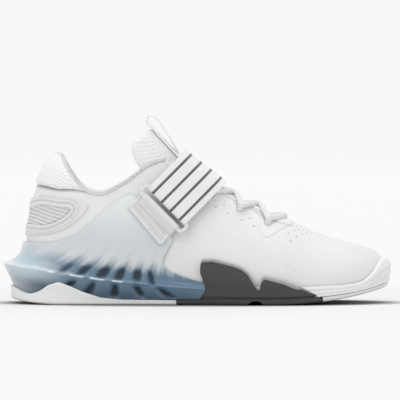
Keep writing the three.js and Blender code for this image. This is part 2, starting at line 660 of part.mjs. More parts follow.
// Trim of the upper in the side view, as shares of LENGTH and COLLAR_HEIGHT
const COUNTER = [
  [-0.05, 0.46], [-0.05, 0.712], [0.079, 0.713], [0.093, 0.732], [0.111, 0.736], [0.139, 0.724], [0.172, 0.713],
  [0.205, 0.702], [0.22, 0.683], [0.2225, 0.644], [0.21, 0.601], [0.189, 0.549], [0.164, 0.506], [0.136, 0.476],
  [0.106, 0.461], [0.083, 0.459],
];
const WINDOW = [
  [-0.05, 0.545], [-0.05, 0.63], [0.07, 0.636], [0.083, 0.653], [0.103, 0.663], [0.1225, 0.657], [0.147, 0.647],
  [0.169, 0.644], [0.1746, 0.631], [0.164, 0.597], [0.146, 0.567], [0.1225, 0.54], [0.098, 0.53], [0.073, 0.536],
];
const KNIT = [
  [-0.05, 1.1], [-0.05, 0.79], [0.084, 0.806], [0.14, 0.78], [0.185, 0.776], [0.2124, 0.765], [0.235, 0.74],
  [0.24, 0.76], [0.2, 0.86], [0.16, 0.97], [0.15, 1.1],
];
const STAY = [
  [0.44, 1.0], [0.43, 0.9], [0.447, 0.82], [0.49, 0.735], [0.548, 0.672], [0.57, 0.684], [0.581, 0.672],
  [0.59, 0.634], [0.603, 0.592], [0.622, 0.598], [0.634, 0.605], [0.645, 0.59], [0.655, 0.552], [0.6617, 0.5],
  [0.67, 0.461], [0.68, 0.449], [0.691, 0.461], [0.711, 0.492], [0.736, 0.524], [0.749, 0.538], [0.757, 0.56],
  [0.74, 0.6], [0.6, 0.85], [0.5, 1.0],
];
const PANEL = [
  [0.363, 0.743], [0.32, 0.652], [0.407, 0.385], [0.438, 0.476],
];

// Padding inside the collar, with a rolled edge that stands above the wall
const LINING_END = 6.7 / LAST_SECTION;
function makeLining(grow) {
  const edge = CLEARANCE - grow;
  const ring = (u, side) => {
    const rim = surface(u, side, 1);
    const n = normal(u, side, 1);
    const climb = rim.clone().sub(surface(u, side, 0.97)).normalize();
    const depth = LINING_DEPTH * (1 - 0.55 * smooth(0.3, LINING_END, u));
    const low = Math.max(1 - depth / rib(u, side)[0].distanceTo(rim), 0.4);
    const from = (t, off) => raised(u, side, t, -WALL - off);
    const over = (off, rise) => rim.clone().addScaledVector(n, off).addScaledVector(climb, rise);
    return [
      from(low, edge),
      from(mix(low, 1, 0.5), edge),
      over(-WALL - edge, edge),
      over(0.2 + grow, edge),
      over(0.5 + grow, edge + 1.1),
      over(-0.8, COLLAR_ROLL + grow),
      over(-WALL - PAD * 0.55, COLLAR_ROLL + grow - 0.3),
      over(-WALL - PAD - grow, 0),
      from(mix(low, 1, 0.6), PAD + 0.6 + grow),
      from(low + 0.03, PAD * 0.7 + grow),
      from(low - 0.02 * grow, edge + 0.9),
    ];
  };
  const us = stations.filter((u) => u < LINING_END - 1e-3);
  const rings = [
    [LINING_END, IN], ...[...us].reverse().map((u) => [u, IN]), ...us.slice(1).map((u) => [u, OUT]), [LINING_END, OUT],
  ];
  return solid(loft(rings.map(([u, side]) => ring(u, side))));
}

// Insole on the bed of the sole
function makeInsole() {
  const half = (u, side) => {
    const foot = beside(u, side, rib(u, side)[0].z, 2);
    return [foot.clone(), foot.setZ(foot.z + INSOLE)];
  };
  return sole(0, 1, half).intersect(form(-WALL - CLEARANCE));
}

// Tongue: a padded plate over the instep. Its middle runs along the throat; its edges drop in a plane that leans.
const TONGUE_PATH = table("at rise halfWidth drop lean thick", [
  [0.379, 1.168, 0.15, 0.135, 0.95, 0.018],
  [0.3855, 1.166, 0.19, 0.175, 0.95, 0.04],
  [0.398, 1.13, 0.205, 0.22, 0.93, 0.048],
  [0.418, 1.076, 0.205, 0.25, 0.88, 0.048],
  [0.44, 1.015, 0.2, 0.24, 0.8, 0.048],
  [0.47, 0.942, 0.195, 0.21, 0.66, 0.048],
  [0.508, 0.855, 0.19, 0.15, 0.5, 0.046],
  [0.56, 0.755, 0.18, 0.105, 0.42, 0.044],
  [0.62, 0.664, 0.165, 0.078, 0.42, 0.04],
  [0.68, 0.583, 0.15, 0.06, 0.45, 0.034],
  [0.73, 0.534, 0.135, 0.045, 0.4, 0.026],
  [0.77, 0.5, 0.12, 0.035, 0.35, 0.018],
]);
const TONGUE_STEPS = shares(8, -1, 1);
function makeTongue(grow) {
  const rings = TONGUE_PATH.map((row) => {
      const [x, z] = [along(row.at), up(row.rise)];
      const halfWidth = across(row.halfWidth) + grow;
      const [drop, thick] = [across(row.drop), across(row.thick)];
      const lean = row.lean;
      const down = new THREE.Vector3(-Math.sin(lean), 0, -Math.cos(lean));
      const at = (v, deep) => {
        const turn = v * 1.35;
        const bow = (1 - Math.cos(turn)) / (1 - Math.cos(1.35));
        const width = halfWidth - deep * Math.abs(Math.sin(turn * 0.8));
        return new THREE.Vector3(x, (width * Math.sin(turn)) / Math.sin(1.35), z).addScaledVector(
          down,
          drop * bow + deep * Math.cos(turn * 0.8) - grow,
        );
      };
      const edge = (v) => thick * (1 - 0.55 * v ** 4) + 2 * grow;
      return [...TONGUE_STEPS.map((v) => at(v, 0)), ...[...TONGUE_STEPS].reverse().map((v) => at(v, edge(v)))];
    });
  return solid(loft(rings));
}


// Laces: bars and crossings between the eyelets, with a hump over the tongue
const EYELETS = [[0.681, 0.538], [0.608, 0.628], [0.537, 0.731]];
const eyelet = ([at, rise], side, height) => {
  const { u, t } = placeAt(side, along(at), up(rise));
  return { point: raised(u, side, t, height), normal: normal(u, side, t) };
};
const TUBE_SIDES = 6;
const LACE_STEPS = 12;
function tube(points, radius, steps) {
  const curve = new THREE.CatmullRomCurve3(points, false, "centripetal");
  const frames = curve.computeFrenetFrames(steps, false);
  const rings = shares(steps).map((f, i) => {
    const centre = curve.getPointAt(f);
    return shares(TUBE_SIDES).slice(0, -1).map((turn) => {
      const a = turn * 2 * Math.PI;
      return centre
        .clone()
        .addScaledVector(frames.normals[i], radius * Math.cos(a))
        .addScaledVector(frames.binormals[i], radius * Math.sin(a));
    });
  });
  return solid(loft(rings, { cap: "fan" }));
}
function lace(from, to, hump, grow = 0) {
  const [a, b] = [eyelet(EYELETS[from], OUT, EYESTAY + CLEARANCE), eyelet(EYELETS[to], IN, EYESTAY + CLEARANCE)];
  const top = new THREE.Vector3(along(hump[0]), across(0.004), up(hump[1]));
  const rise = (end, height, reach) => {
    const inward = top.clone().sub(end.point);
    inward.addScaledVector(end.normal, -inward.dot(end.normal)).normalize();
    return end.point.clone().addScaledVector(end.normal, height).addScaledVector(inward, reach);
  };
  const climb = (end) => [rise(end, 0.45 - grow, 0), rise(end, 1.9, 0.5), rise(end, 3, 3.2)];
  return tube([...climb(a), top, ...climb(b).reverse()], LACE / 2 + grow, LACE_STEPS);
}
// Each bar or crossing: outer eyelet, inner eyelet, and where its hump lies in the side view
const LACES = [
  [0, 0, [0.719, 0.607]],
  [0, 1, [0.655, 0.68]],
  [1, 0, [0.655, 0.68]],
  [1, 2, [0.593, 0.752]],
  [2, 1, [0.593, 0.752]],
];
const laceSolid = (grow) => joined(LACES.map(([from, to, hump]) => lace(from, to, hump, grow)));
const eyeletPins = joined(
  EYELETS.flatMap((where) =>
    SIDES.map((side) => {
      const ends = [-WALL - 1, EYESTAY + 1].map((height) => eyelet(where, side, height).point);
      return tube(ends, LACE / 2, 1);
    }),
  ),
);

// Pull loop: a tape folded into a drop-shaped loop at the tongue's tip
const LOOP_PATH = [
  [0.4525, 1.0105], [0.435, 1.095], [0.411, 1.192], [0.3995, 1.24], [0.388, 1.2615], [0.3765, 1.2615], [0.371, 1.237],
  [0.372, 1.212], [0.382, 1.186], [0.3935, 1.159], [0.4065, 1.1255], [0.4225, 1.0835], [0.4395, 1.037],
];
function makeLoop() {
  const curve = new THREE.CatmullRomCurve3(
    LOOP_PATH.map(([at, rise]) => new THREE.Vector3(along(at), up(rise), 0)),
    true,
    "centripetal",
  );
  const rings = shares(36).slice(0, -1).map((f) => {
    const p = curve.getPointAt(f);
    const ahead = curve.getTangentAt(f);
    const tapeSide = (off, y) => new THREE.Vector3(p.x - ahead.y * off, y, p.y + ahead.x * off);
    const [half, edge] = [TAPE / 2, LOOP_WIDTH / 2];
    return [tapeSide(-half, -edge), tapeSide(half, -edge), tapeSide(half, edge), tapeSide(-half, edge)];
  });
  return solid(loft(rings, { loop: true }));
}

// Strap: a hoop that leans over the instep. Each cut across it is the tightest convex curve round what lies inside.
const RING_AT = [0.412, 0.631]; // middle of the strap where it folds round the ring
const TILT = THREE.MathUtils.degToRad(STRAP_TILT);
const STRAP_ACROSS = new THREE.Vector3(Math.cos(TILT), 0, -Math.sin(TILT));
const STRAP_UP = new THREE.Vector3(Math.sin(TILT), 0, Math.cos(TILT));
const STRAP_ORIGIN = new THREE.Vector3(along(RING_AT[0]), 0, up(RING_AT[1]));
const BAR = RING_BAR / 2;
const BAR_RISE = 5.2; // ring's inner bar above the strap's origin
const TURNS = shares(64, -2.2, 2.2);
const inHoop = (y, h) => new THREE.Vector2(y, h);
const facing = (turn) => inHoop(-Math.sin(turn), Math.cos(turn));

function hoopAround(bodies) {
  const reach = 1.06;
  const slab = new THREE.BoxGeometry(reach * STRAP_WIDTH, 2 * BALL_WIDTH, 2 * BALL_WIDTH).rotateY(TILT);
  const strip = solid(slab.translate(...STRAP_ORIGIN.toArray()));
  const points = bodies.flatMap((one) => {
    const mesh = one.intersect(strip).getMesh();
    return Array.from({ length: mesh.numVert }, (_, i) => {
      const p = new THREE.Vector3(...mesh.vertProperties.subarray(i * mesh.numProp, i * mesh.numProp + 3));
      p.sub(STRAP_ORIGIN);
      return { s: p.dot(STRAP_ACROSS) / (STRAP_WIDTH / 2), flat: inHoop(p.y, p.dot(STRAP_UP)) };
    });
  });
  const inReach = points.filter((p) => p.flat.y > -18);
  const tight = TURNS.map((turn) => {
    const n = facing(turn);
    const [back, front] = [-1, 1].map((end) =>
      Math.max(...inReach.filter((p) => p.s * end > reach - 0.1).map((p) => p.flat.dot(n))),
    );
    const slope = (front - back) / (2 * reach);
    const level = Math.max(...inReach.map((p) => p.flat.dot(n) - slope * p.s));
    const lift = (STRAP_LIFT / 2) * Math.max(0, Math.cos(turn));
    return { slope: slope - lift, level: level + lift };
  });
  // webbing rounds off the corners it is pulled over
  const rounded = (name, i) =>
    [-3, -2, -1, 0, 1, 2, 3].reduce((sum, k) => sum + tight[clamp(i + k, 0, tight.length - 1)][name] / 7, 0);
  const support = TURNS.map((turn, i) => ({
    n: facing(turn),
    slope: rounded("slope", i),
    level: Math.max(rounded("level", i) + 0.3, tight[i].level + Math.abs(tight[i].slope - rounded("slope", i))),
  }));
  // the hoop's point in a direction from the middle, a distance off what it holds; extra discs push it out
  return (turn, slice, off, discs = []) => {
    const way = facing(turn);
    let nearest = Infinity;
    for (const { n, slope, level } of support) {
      const toward = way.dot(n);
      if (toward < 0.05) continue;
      const reach = Math.max(level + slope * slice + off, ...discs.map((d) => d.centre.dot(n) + d.radius));
      nearest = Math.min(nearest, reach / toward);
    }
    return way.multiplyScalar(nearest);
  };
}

const FOLD_STEPS = 7;
const HOOP_TURNS = shares(34, -1.4, 1.4);
const OUTER_FROM = -1.5; // where the strap's two layers end on the inner side
const INNER_FROM = -1.75;
function strapAt(hoop, slice) {
  const near = 2 * CLEARANCE;
  const far = near + STRAP;
  let low = 1;
  let high = 2;
  for (let i = 0; i < 20; i++) {
    const turn = (low + high) / 2;
    if (hoop(turn, slice, far).y > BAR_RISE) low = turn;
    else high = turn;
  }
  const end = low;
  const tangent = hoop(end + 0.02, slice, far).sub(hoop(end - 0.02, slice, far)).normalize();
  const n = inHoop(tangent.y, -tangent.x);
  if (n.x > 0) n.negate();
  const bar = hoop(end, slice, far).addScaledVector(n, CLEARANCE + BAR + 0.1);
  const disc = (layer) => [{ centre: bar, radius: BAR + CLEARANCE + layer }];
  const path = (from, to, off, discs) => [from, ...HOOP_TURNS, to].map((turn) => hoop(turn, slice, off, discs));
  const fold = (radius) =>
    shares(FOLD_STEPS).slice(1, -1).map((f) => {
      const a = f * Math.PI;
      return bar.clone().addScaledVector(n, -radius * Math.cos(a)).addScaledVector(tangent, radius * Math.sin(a));
    });
  const over = far + 0.35;
  const outerEnd = Math.atan2(-bar.x - n.x * 2, bar.y);
  return {
    bar,
    tangent,
    under: [
      ...path(INNER_FROM, end, near),
      ...fold(BAR + CLEARANCE + STRAP),
      ...path(OUTER_FROM, outerEnd, over + STRAP, disc(STRAP)).reverse(),
    ],
    upper: [
      ...path(INNER_FROM, end, far),
      ...fold(BAR + CLEARANCE),
      ...path(OUTER_FROM, outerEnd, over, disc(0)).reverse(),
    ],
  };
}
const onStrap = (flat, slice) =>
  STRAP_ORIGIN.clone()
    .addScaledVector(STRAP_ACROSS, (slice * STRAP_WIDTH) / 2)
    .addScaledVector(STRAP_UP, flat.y)
    .setY(flat.x);
function makeStrap(hoop) {
  const edges = [-1, 1];
  const cuts = edges.map((slice) => strapAt(hoop, slice));
  const side = (name, i) => cuts.map((cut, k) => onStrap(cut[name][i], edges[k]));
  return solid(loft(cuts[0].under.map((_, i) => [...side("under", i), ...side("upper", i).reverse()]), { cap: "strip" }));
}
function makeRing(hoop, grow) {
  const reach = 1 + (BAR + 0.8) / (STRAP_WIDTH / 2);
  const edges = [-1, 1].map((end) => {
    const { bar, tangent } = strapAt(hoop, end);
    return [bar, bar.clone().addScaledVector(tangent, RING_SLOT + RING_BAR - 1.2)];
  });
  const [back, front] = [-1, 1].map((end) =>
    [0, 1].map((k) => onStrap(edges[0][k].clone().lerp(edges[1][k], (1 + end * reach) / 2), end * reach)),
  );
  const corners = [back[0], front[0], front[1], back[1]];
  const face = front[0].clone().sub(back[0]).cross(back[1].clone().sub(back[0])).normalize();
  const rings = corners.flatMap((corner, i) => {
    const [from, to] = [corners.at(i - 1), corners[(i + 1) % 4]].map((end) =>
      corner.clone().addScaledVector(end.clone().sub(corner).normalize(), 1.6 * BAR),
    );
    const bend = new THREE.QuadraticBezierCurve3(from, corner, to);
    return [0, 0.5, 1].map((f) => {
      const side = face.clone().cross(bend.getTangent(f)).normalize();
      return count(2 * TUBE_SIDES - 4).map((k) => {
        const a = (k / (2 * TUBE_SIDES - 4)) * 2 * Math.PI;
        return bend
          .getPoint(f)
          .addScaledVector(face, (BAR + grow) * Math.cos(a))
          .addScaledVector(side, (BAR + grow) * Math.sin(a));
      });
    });
  });
  return solid(loft(rings, { loop: true }));
}

const near = form(CLEARANCE, 8);
const liningAround = makeLining(CLEARANCE);
const wallAround = form(CLEARANCE).subtract(form(-WALL - CLEARANCE, 3));
const tongue = makeTongue(0).subtract(wallAround).subtract(liningAround);
const laces = laceSolid(0).subtract(form(EYESTAY + 2 * CLEARANCE)).subtract(makeTongue(CLEARANCE));
const wing = frameForm(0).subtract(near);
const hoop = hoopAround([form(EYESTAY + CLEARANCE), tongue, laces, wing]);
const ringAround = makeRing(hoop, CLEARANCE);
const slots = joined(SLOTS.flatMap((corners) => SIDES.map((side) => slot(corners, side))));
const frameAround = frameForm(CLEARANCE);
const midsoleAround = midsoleForm(CLEARANCE);
const tread = (from, to, half, extra = []) =>
  sole(from, to, half, extra)
    .subtract(near)
    .subtract(frameAround)
    .subtract(midsoleAround)
    .subtract(grooves)
    .subtract(flexRecess)
    .intersect(between(from > 0 ? along(from) : -LENGTH, to < 1 ? along(to) : LENGTH));

const part = new THREE.Group();
part.name = "weightlifting_shoe";

const FINISH = {
  leather: [0xe9e9e9, 0.55],
  knit: [0xe4e4e4, 0.9],
  clear: [0x9fb4c4, 0.25],
  rubber: [0xededed, 0.5],
  dark: [0x474548, 0.6],
  foam: [0xefefef, 0.7],
  webbing: [0xe2e2e2, 0.85],
  moulded: [0xcfcfcf, 0.5],
};
function add(name, whole, finish) {
  const largest = whole.decompose().reduce((a, b) => (a.volume() > b.volume() ? a : b));
  const [color, roughness] = FINISH[finish];
  const mesh = new THREE.Mesh(
    backToGeometry(largest),
    new THREE.MeshStandardMaterial({ color, roughness, metalness: 0 }),
  );
  mesh.name = name;
  part.add(mesh);
}

add("upper", makeUpper().subtract(eyeletPins), "leather");
add("insole", makeInsole(), "foam");
add("collar_lining", makeLining(0), "knit");
add("heel_pad", cover(CLEARANCE, KNIT_PAD, KNIT, null).subtract(liningAround), "knit");
add("heel_counter", cover(CLEARANCE, COUNTER_RIDGE, COUNTER, null).subtract(sidePrism(WINDOW, null)), "leather");
add("heel_window", cover(CLEARANCE, CLEARANCE + WINDOW_MESH, WINDOW, null, -CLEARANCE), "knit");
add("heel_frame", wing.subtract(slots).subtract(ringAround), "clear");
add("forefoot_midsole", midsoleForm(0).subtract(near), "foam");
add("heel_outsole", tread(0, 0.4505, waveHalf, [0.1, 0.118, 0.165]), "rubber");
add("forefoot_outsole", tread(0.4515, 0.8165, finHalf, FINS.map((row) => row.footAt)), "dark");
add("toe_outsole", tread(0.8175, 1, toeTreadHalf), "rubber");
add("tongue", tongue, "knit");
add("pull_loop", makeLoop(), "webbing");
add("lace", laces, "webbing");
add("eyestay_outer", cover(CLEARANCE, CLEARANCE + EYESTAY, STAY, OUT).subtract(eyeletPins), "leather");
add("eyestay_inner", cover(CLEARANCE, CLEARANCE + EYESTAY, STAY, IN).subtract(eyeletPins), "leather");
add("strap", makeStrap(hoop), "webbing");
add("strap_ring", makeRing(hoop, 0), "moulded");
add(
  "strap_keeper",
  cover(WING_WALL + 3 * CLEARANCE, WING_WALL + 3 * CLEARANCE + KEEPER, PANEL, OUT).subtract(ringAround),
  "moulded",
);

export default part;
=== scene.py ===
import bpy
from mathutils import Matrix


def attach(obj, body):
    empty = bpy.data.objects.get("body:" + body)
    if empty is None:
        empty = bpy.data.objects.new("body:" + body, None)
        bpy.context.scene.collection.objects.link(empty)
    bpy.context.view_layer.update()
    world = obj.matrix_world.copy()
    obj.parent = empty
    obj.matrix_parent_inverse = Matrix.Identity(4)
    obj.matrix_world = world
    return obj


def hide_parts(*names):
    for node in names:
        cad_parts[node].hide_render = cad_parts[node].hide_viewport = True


bl_info = {
    "name": "Lifting shoe",
    "version": (1, 0, 0),
    "blender": (4, 5, 0),
    "location": "3D View > Sidebar > Shoe",
    "description": "Dresses a right-foot lifting shoe over its packed solids",
    "category": "Add Mesh",
}

import math

import bmesh
import bpy
import numpy as np
from mathutils import Vector

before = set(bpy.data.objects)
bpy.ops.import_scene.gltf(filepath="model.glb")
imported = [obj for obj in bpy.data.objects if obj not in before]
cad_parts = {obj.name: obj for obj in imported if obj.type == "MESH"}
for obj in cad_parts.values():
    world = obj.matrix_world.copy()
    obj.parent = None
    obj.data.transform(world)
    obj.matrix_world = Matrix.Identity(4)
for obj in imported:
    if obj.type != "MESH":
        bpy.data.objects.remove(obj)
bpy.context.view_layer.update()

# Sizes in millimetres: +X to the toe, +Y to the inner side, +Z up
LENGTH = 300.0
HEEL_TO_ORIGIN = 55.0
BALL_WIDTH = 104.0
COLLAR_HEIGHT = 115.0
HEEL_STACK = 28.0
WALL = 2.2
GAP = 0.3
OUTSOLE = 4.0
TOE_TREAD = 2.8
HEEL_BEVEL = 5.0
TOE_SPRING = 13.0
CUP_WALL = 3.0
WING_WALL = 1.9
SKIRT = 1.8
FIN_WALL = 2.2
PAD = 4.5
LINING_DEPTH = 30.0
COLLAR_ROLL = 2.8
# Ribs of the keeper's plate and turns of the collar's knitted roll, from one to the next
RIB_PITCH = 2.1
TWIST_PITCH = 2.1
LOOP_WIDTH = 14.0
TAPE = 1.3
STRAP_WIDTH = 40.0
STRAP_LIFT = 4.0
BAR = 1.6
RING_SLOT = 5.5
OUT, IN = -1.0, 1.0


def along(share):
    return np.asarray(share) * LENGTH - HEEL_TO_ORIGIN


def up(share):
    return np.asarray(share) * COLLAR_HEIGHT


def mix(a, b, f):
    return a + (b - a) * f


def smooth(low, high, value):
    f = np.clip((np.asarray(value, float) - low) / (high - low), 0, 1)
    return f * f * (3 - 2 * f)


def unit(v):
    return v / np.maximum(np.linalg.norm(v, axis=-1, keepdims=True), 1e-9)


def bell(distance, width):
    """1 at no distance, and soon 0 past the width."""
    return np.exp(-((distance / width) ** 2))


def curve_through(a, b, c, d, f):
    """The point at a share f between b and c of a smooth curve through four points."""
    return b + 0.5 * f * (c - a + f * (2 * a - 5 * b + 4 * c - d + f * (3 * (b - c) + d - a)))


def run_along(points):
    """The length run at each point of a line."""
    return np.concatenate([[0], np.cumsum(np.linalg.norm(np.diff(points, axis=0), axis=1))])


def even_rows(points, count):
    """A line's points, moved to even distances along it."""
    run = run_along(points)
    at = np.linspace(0, run[-1], count)
    return np.stack([np.interp(at, run, points[:, k]) for k in range(points.shape[1])], axis=1)


def halve(shape, falls_short, steps):
    """The share from 0 to 1 up to which a test holds, at every point of an array."""
    low, high = np.zeros(shape), np.ones(shape)
    for _ in range(steps):
        middle = (low + high) / 2
        short = falls_short(middle)
        low, high = np.where(short, middle, low), np.where(short, high, middle)
    return (low + high) / 2


# Ribs of the foot form from heel to toe, as shares: foot, belly, shoulder, rim and half the throat's gap
SECTIONS = np.array(
    [
        [0.06, 0, 0, 1.0, 0.047, 0, 0, 0.475, 0.086, 0, 0, 0.955, 0.139, 0, 0, 1.0],
        [0.084, 0.202, 0.202, 1.0, 0.07, 0.245, 0.24, 0.47,
         0.101, 0.17, 0.165, 0.91, 0.149, 0.118, 0, 0.975],
        [0.133, 0.279, 0.275, 0.98, 0.121, 0.332, 0.325, 0.44,
         0.138, 0.265, 0.26, 0.79, 0.168, 0.225, 0, 0.885],
        [0.192, 0.31, 0.303, 0.95, 0.187, 0.366, 0.352, 0.42,
         0.195, 0.312, 0.305, 0.665, 0.205, 0.275, 0, 0.768],
        [0.255, 0.322, 0.298, 0.9, 0.252, 0.376, 0.343, 0.4,
         0.255, 0.325, 0.308, 0.625, 0.257, 0.287, -0.003, 0.732],
        [0.319, 0.33, 0.279, 0.82, 0.319, 0.383, 0.328, 0.39,
         0.319, 0.322, 0.298, 0.7, 0.319, 0.279, -0.006, 0.812],
        [0.379, 0.342, 0.264, 0.72, 0.379, 0.398, 0.328, 0.4,
         0.379, 0.305, 0.28, 0.82, 0.38, 0.25, -0.008, 0.925],
        [0.439, 0.362, 0.27, 0.61, 0.439, 0.424, 0.345, 0.41,
         0.439, 0.29, 0.27, 0.885, 0.439, 0.205, -0.008, 0.952],
        [0.521, 0.398, 0.312, 0.48, 0.521, 0.475, 0.4, 0.37,
         0.521, 0.31, 0.285, 0.765, 0.521, 0.158, -0.004, 0.806],
        [0.607, 0.432, 0.372, 0.39, 0.607, 0.527, 0.47, 0.335,
         0.607, 0.33, 0.31, 0.66, 0.607, 0.122, 0, 0.689],
        [0.669, 0.444, 0.42, 0.37, 0.669, 0.55, 0.525, 0.31,
         0.67, 0.335, 0.325, 0.588, 0.678, 0.096, 0.01, 0.597],
        [0.722, 0.436, 0.442, 0.37, 0.722, 0.54, 0.545, 0.295,
         0.73, 0.325, 0.335, 0.556, 0.737, 0.068, 0.015, 0.554],
        [0.775, 0.415, 0.444, 0.39, 0.776, 0.51, 0.545, 0.28,
         0.765, 0.29, 0.33, 0.538, 0.7535, 0, 0.018, 0.541],
        [0.84, 0.361, 0.423, 0.45, 0.845, 0.445, 0.51, 0.268,
         0.817, 0.235, 0.29, 0.472, 0.814, 0, 0.026, 0.47],
        [0.908, 0.257, 0.36, 0.56, 0.923, 0.32, 0.43, 0.262,
         0.882, 0.165, 0.235, 0.426, 0.874, 0, 0.036, 0.424],
        [0.955, 0.108, 0.268, 0.66, 0.978, 0.135, 0.31, 0.262,
         0.938, 0.055, 0.16, 0.388, 0.918, 0, 0.045, 0.392],
        [0.976, -0.087, 0.087, 0.72, 1.002, -0.087, 0.087, 0.262,
         0.973, -0.07, 0.07, 0.358, 0.938, 0, 0.052, 0.376],
    ]
)
LAST = len(SECTIONS) - 1
THROAT_END = 12 / LAST


def _section_table():
    """Every section's control points in millimetres for both sides, with mirrored rows past each end."""
    both = []
    for side in (OUT, IN):
        rows = []
        for index in range(-1, LAST + 3):
            mirrored = index < 0 or index > LAST
            k = index if not mirrored else (-index if index < 0 else 2 * LAST - index)
            r = SECTIONS[k]
            outer = (side == OUT) != mirrored
            lean = [-r[c] if outer else r[c + 1] for c in (1, 5, 9)]
            rows.append(
                [
                    along(r[0]), lean[0] * BALL_WIDTH, HEEL_STACK * r[3],
                    along(r[4]), lean[1] * BALL_WIDTH, up(r[7]),
                    along(r[8]), lean[2] * BALL_WIDTH, up(r[11]),
                    along(r[12]), BALL_WIDTH * r[14], up(r[15]),
                    BALL_WIDTH * r[13] * (-1 if mirrored else 1),
                ]
            )  # fmt: skip
        both.append(rows)
    return np.array(both, float)


RIBS = _section_table()


def ribs(u, side):
    """Control points of the ribs at u; a negative u lies on the other side."""
    u, side = np.broadcast_arrays(np.asarray(u, float), np.asarray(side, float))
    flip = (u < 0) | (u > 1)
    v = np.where(u < 0, -u, np.where(u > 1, 2 - u, u))
    s = np.where(flip, -side, side)
    place = np.clip(v * LAST, 0, LAST)
    i = np.minimum(np.floor(place + 1e-9).astype(int), LAST)
    f = np.maximum(place - i, 0)[..., None]
    k = (s > 0).astype(int)
    a, b, c, d = [RIBS[k, i + step] for step in range(4)]
    value = curve_through(a, b, c, d, f)
    points = value[..., :12].reshape(value.shape[:-1] + (4, 3)).copy()
    gap = np.where(v > THROAT_END - 1e-9, 0, np.maximum(value[..., 12], 0))
    points[..., 3, 1] += np.where(s < 0, -gap, gap)
    return points


def face(u, side, t):
    """Points of the upper's outer face, t from 0 at the sole line to 1 at the rim."""
    p = ribs(u, side)
    t = np.asarray(t, float)[..., None]
    s = 1 - t
    return (
        p[..., 0, :] * s**3
        + p[..., 1, :] * 3 * s * s * t
        + p[..., 2, :] * 3 * s * t * t
        + p[..., 3, :] * t**3
    )


def _slope_normal(u, side, t):
    e = 1e-3
    rise = face(u, side, np.minimum(t + e, 1)) - face(u, side, np.maximum(t - e, 0))
    run = (face(u + e, side, t) - face(u - e, side, t)) * np.where(side > 0, -1, 1)[..., None]
    return unit(np.cross(run, rise))


def outward(u, side, t):
    """Unit normals of the upper's outer face, joined across the ridge of the toe."""
    u, side, t = [np.asarray(a, float) for a in np.broadcast_arrays(u, side, t)]
    n = _slope_normal(u, side, t)
    ridge = (t > 1 - 1e-9) & (np.abs(u) > THROAT_END - 1e-9)
    if ridge.any():
        both = unit(n + _slope_normal(u, -side, t))
        n = np.where(ridge[..., None], both, n)
    end = np.abs(u) < 1e-9
    n = np.where(end[..., None], unit(n * [1, 0, 1]), n)
    return n


def share_at(u, side, z):
    return halve(np.shape(u), lambda t: face(u, side, t)[..., 2] < z, 22)


def place_at(side, x, z):
    """The share round and the share up where the side view shows x and z."""
    x, z = np.broadcast_arrays(np.asarray(x, float), np.asarray(z, float))
    side = np.full(x.shape, side, float)
    u = halve(x.shape, lambda u: face(u, side, share_at(u, side, z))[..., 0] < x, 18)
    return u, share_at(u, side, z)


def share_along(x):
    x = np.asarray(x, float)
    return halve(x.shape, lambda u: ribs(u, OUT)[..., 0, 0] < x, 26)


def share_of(u):
    return (ribs(np.abs(u), OUT)[..., 0, 0] + HEEL_TO_ORIGIN) / LENGTH


def beside(u, side, z, off):
    """Points at height z that stand off the foot form, level with the floor."""
    u, side, z, off = [np.asarray(a, float) for a in np.broadcast_arrays(u, side, z, off)]
    t = np.where(z > ribs(u, side)[..., 0, 2], share_at(u, side, z), 0)
    n = outward(u, side, t)
    p = face(u, side, t)
    p[..., 2] = z
    level = np.hypot(n[..., 0], n[..., 1])
    push = off / (level * np.maximum(level, 0.6))
    return p + n * [1, 1, 0] * push[..., None]


def raised(u, side, t, height):
    return face(u, side, t) + outward(u, side, t) * np.asarray(height)[..., None]


# Floor line and sole tables
BEVEL_FROM = along(0.152)
SPRING_FROM = along(0.67)


def ground(x):
    heel = np.clip((BEVEL_FROM - x) / (BEVEL_FROM - along(0)), 0, 1)
    toe = np.clip((x - SPRING_FROM) / (along(1) - SPRING_FROM), 0, 1)
    return HEEL_BEVEL * heel**1.8 + TOE_SPRING * toe**2.2


def tread_at(share):
    return mix(OUTSOLE, TOE_TREAD, smooth(0.75, 0.95, share))


def above_ground(u, side, height, off):
    p = beside(u, side, 12.0, off)
    p[..., 2] = ground(p[..., 0]) + height
    return p


def read(rows, column, at, soften=0.0):
    """A table's column read between rows, softened over a share of the length."""
    rows = np.array(rows)
    if not soften:
        return np.interp(at, rows[:, 0], rows[:, column])
    steps = np.linspace(-1, 1, 9)
    weights = np.exp(-2 * steps**2)
    total = sum(w * np.interp(at + s * soften, rows[:, 0], rows[:, column]) for s, w in zip(steps, weights))
    return total / weights.sum()


# Heel frame's ridge: share, ridge height, ridge flare, foot flare, fade above the ridge
RIDGE = [
    [0.06, 0.274, 0.186, 0.07, 0.031],
    [0.084, 0.25, 0.132, 0.066, 0.037],
    [0.133, 0.22, 0.103, 0.06, 0.05],
    [0.192, 0.194, 0.09, 0.055, 0.06],
    [0.255, 0.168, 0.084, 0.05, 0.06],
    [0.319, 0.15, 0.08, 0.048, 0.055],
    [0.38, 0.135, 0.074, 0.046, 0.05],
    [0.44, 0.12, 0.066, 0.044, 0.045],
    [0.52, 0.105, 0.055, 0.04, 0.04],
]
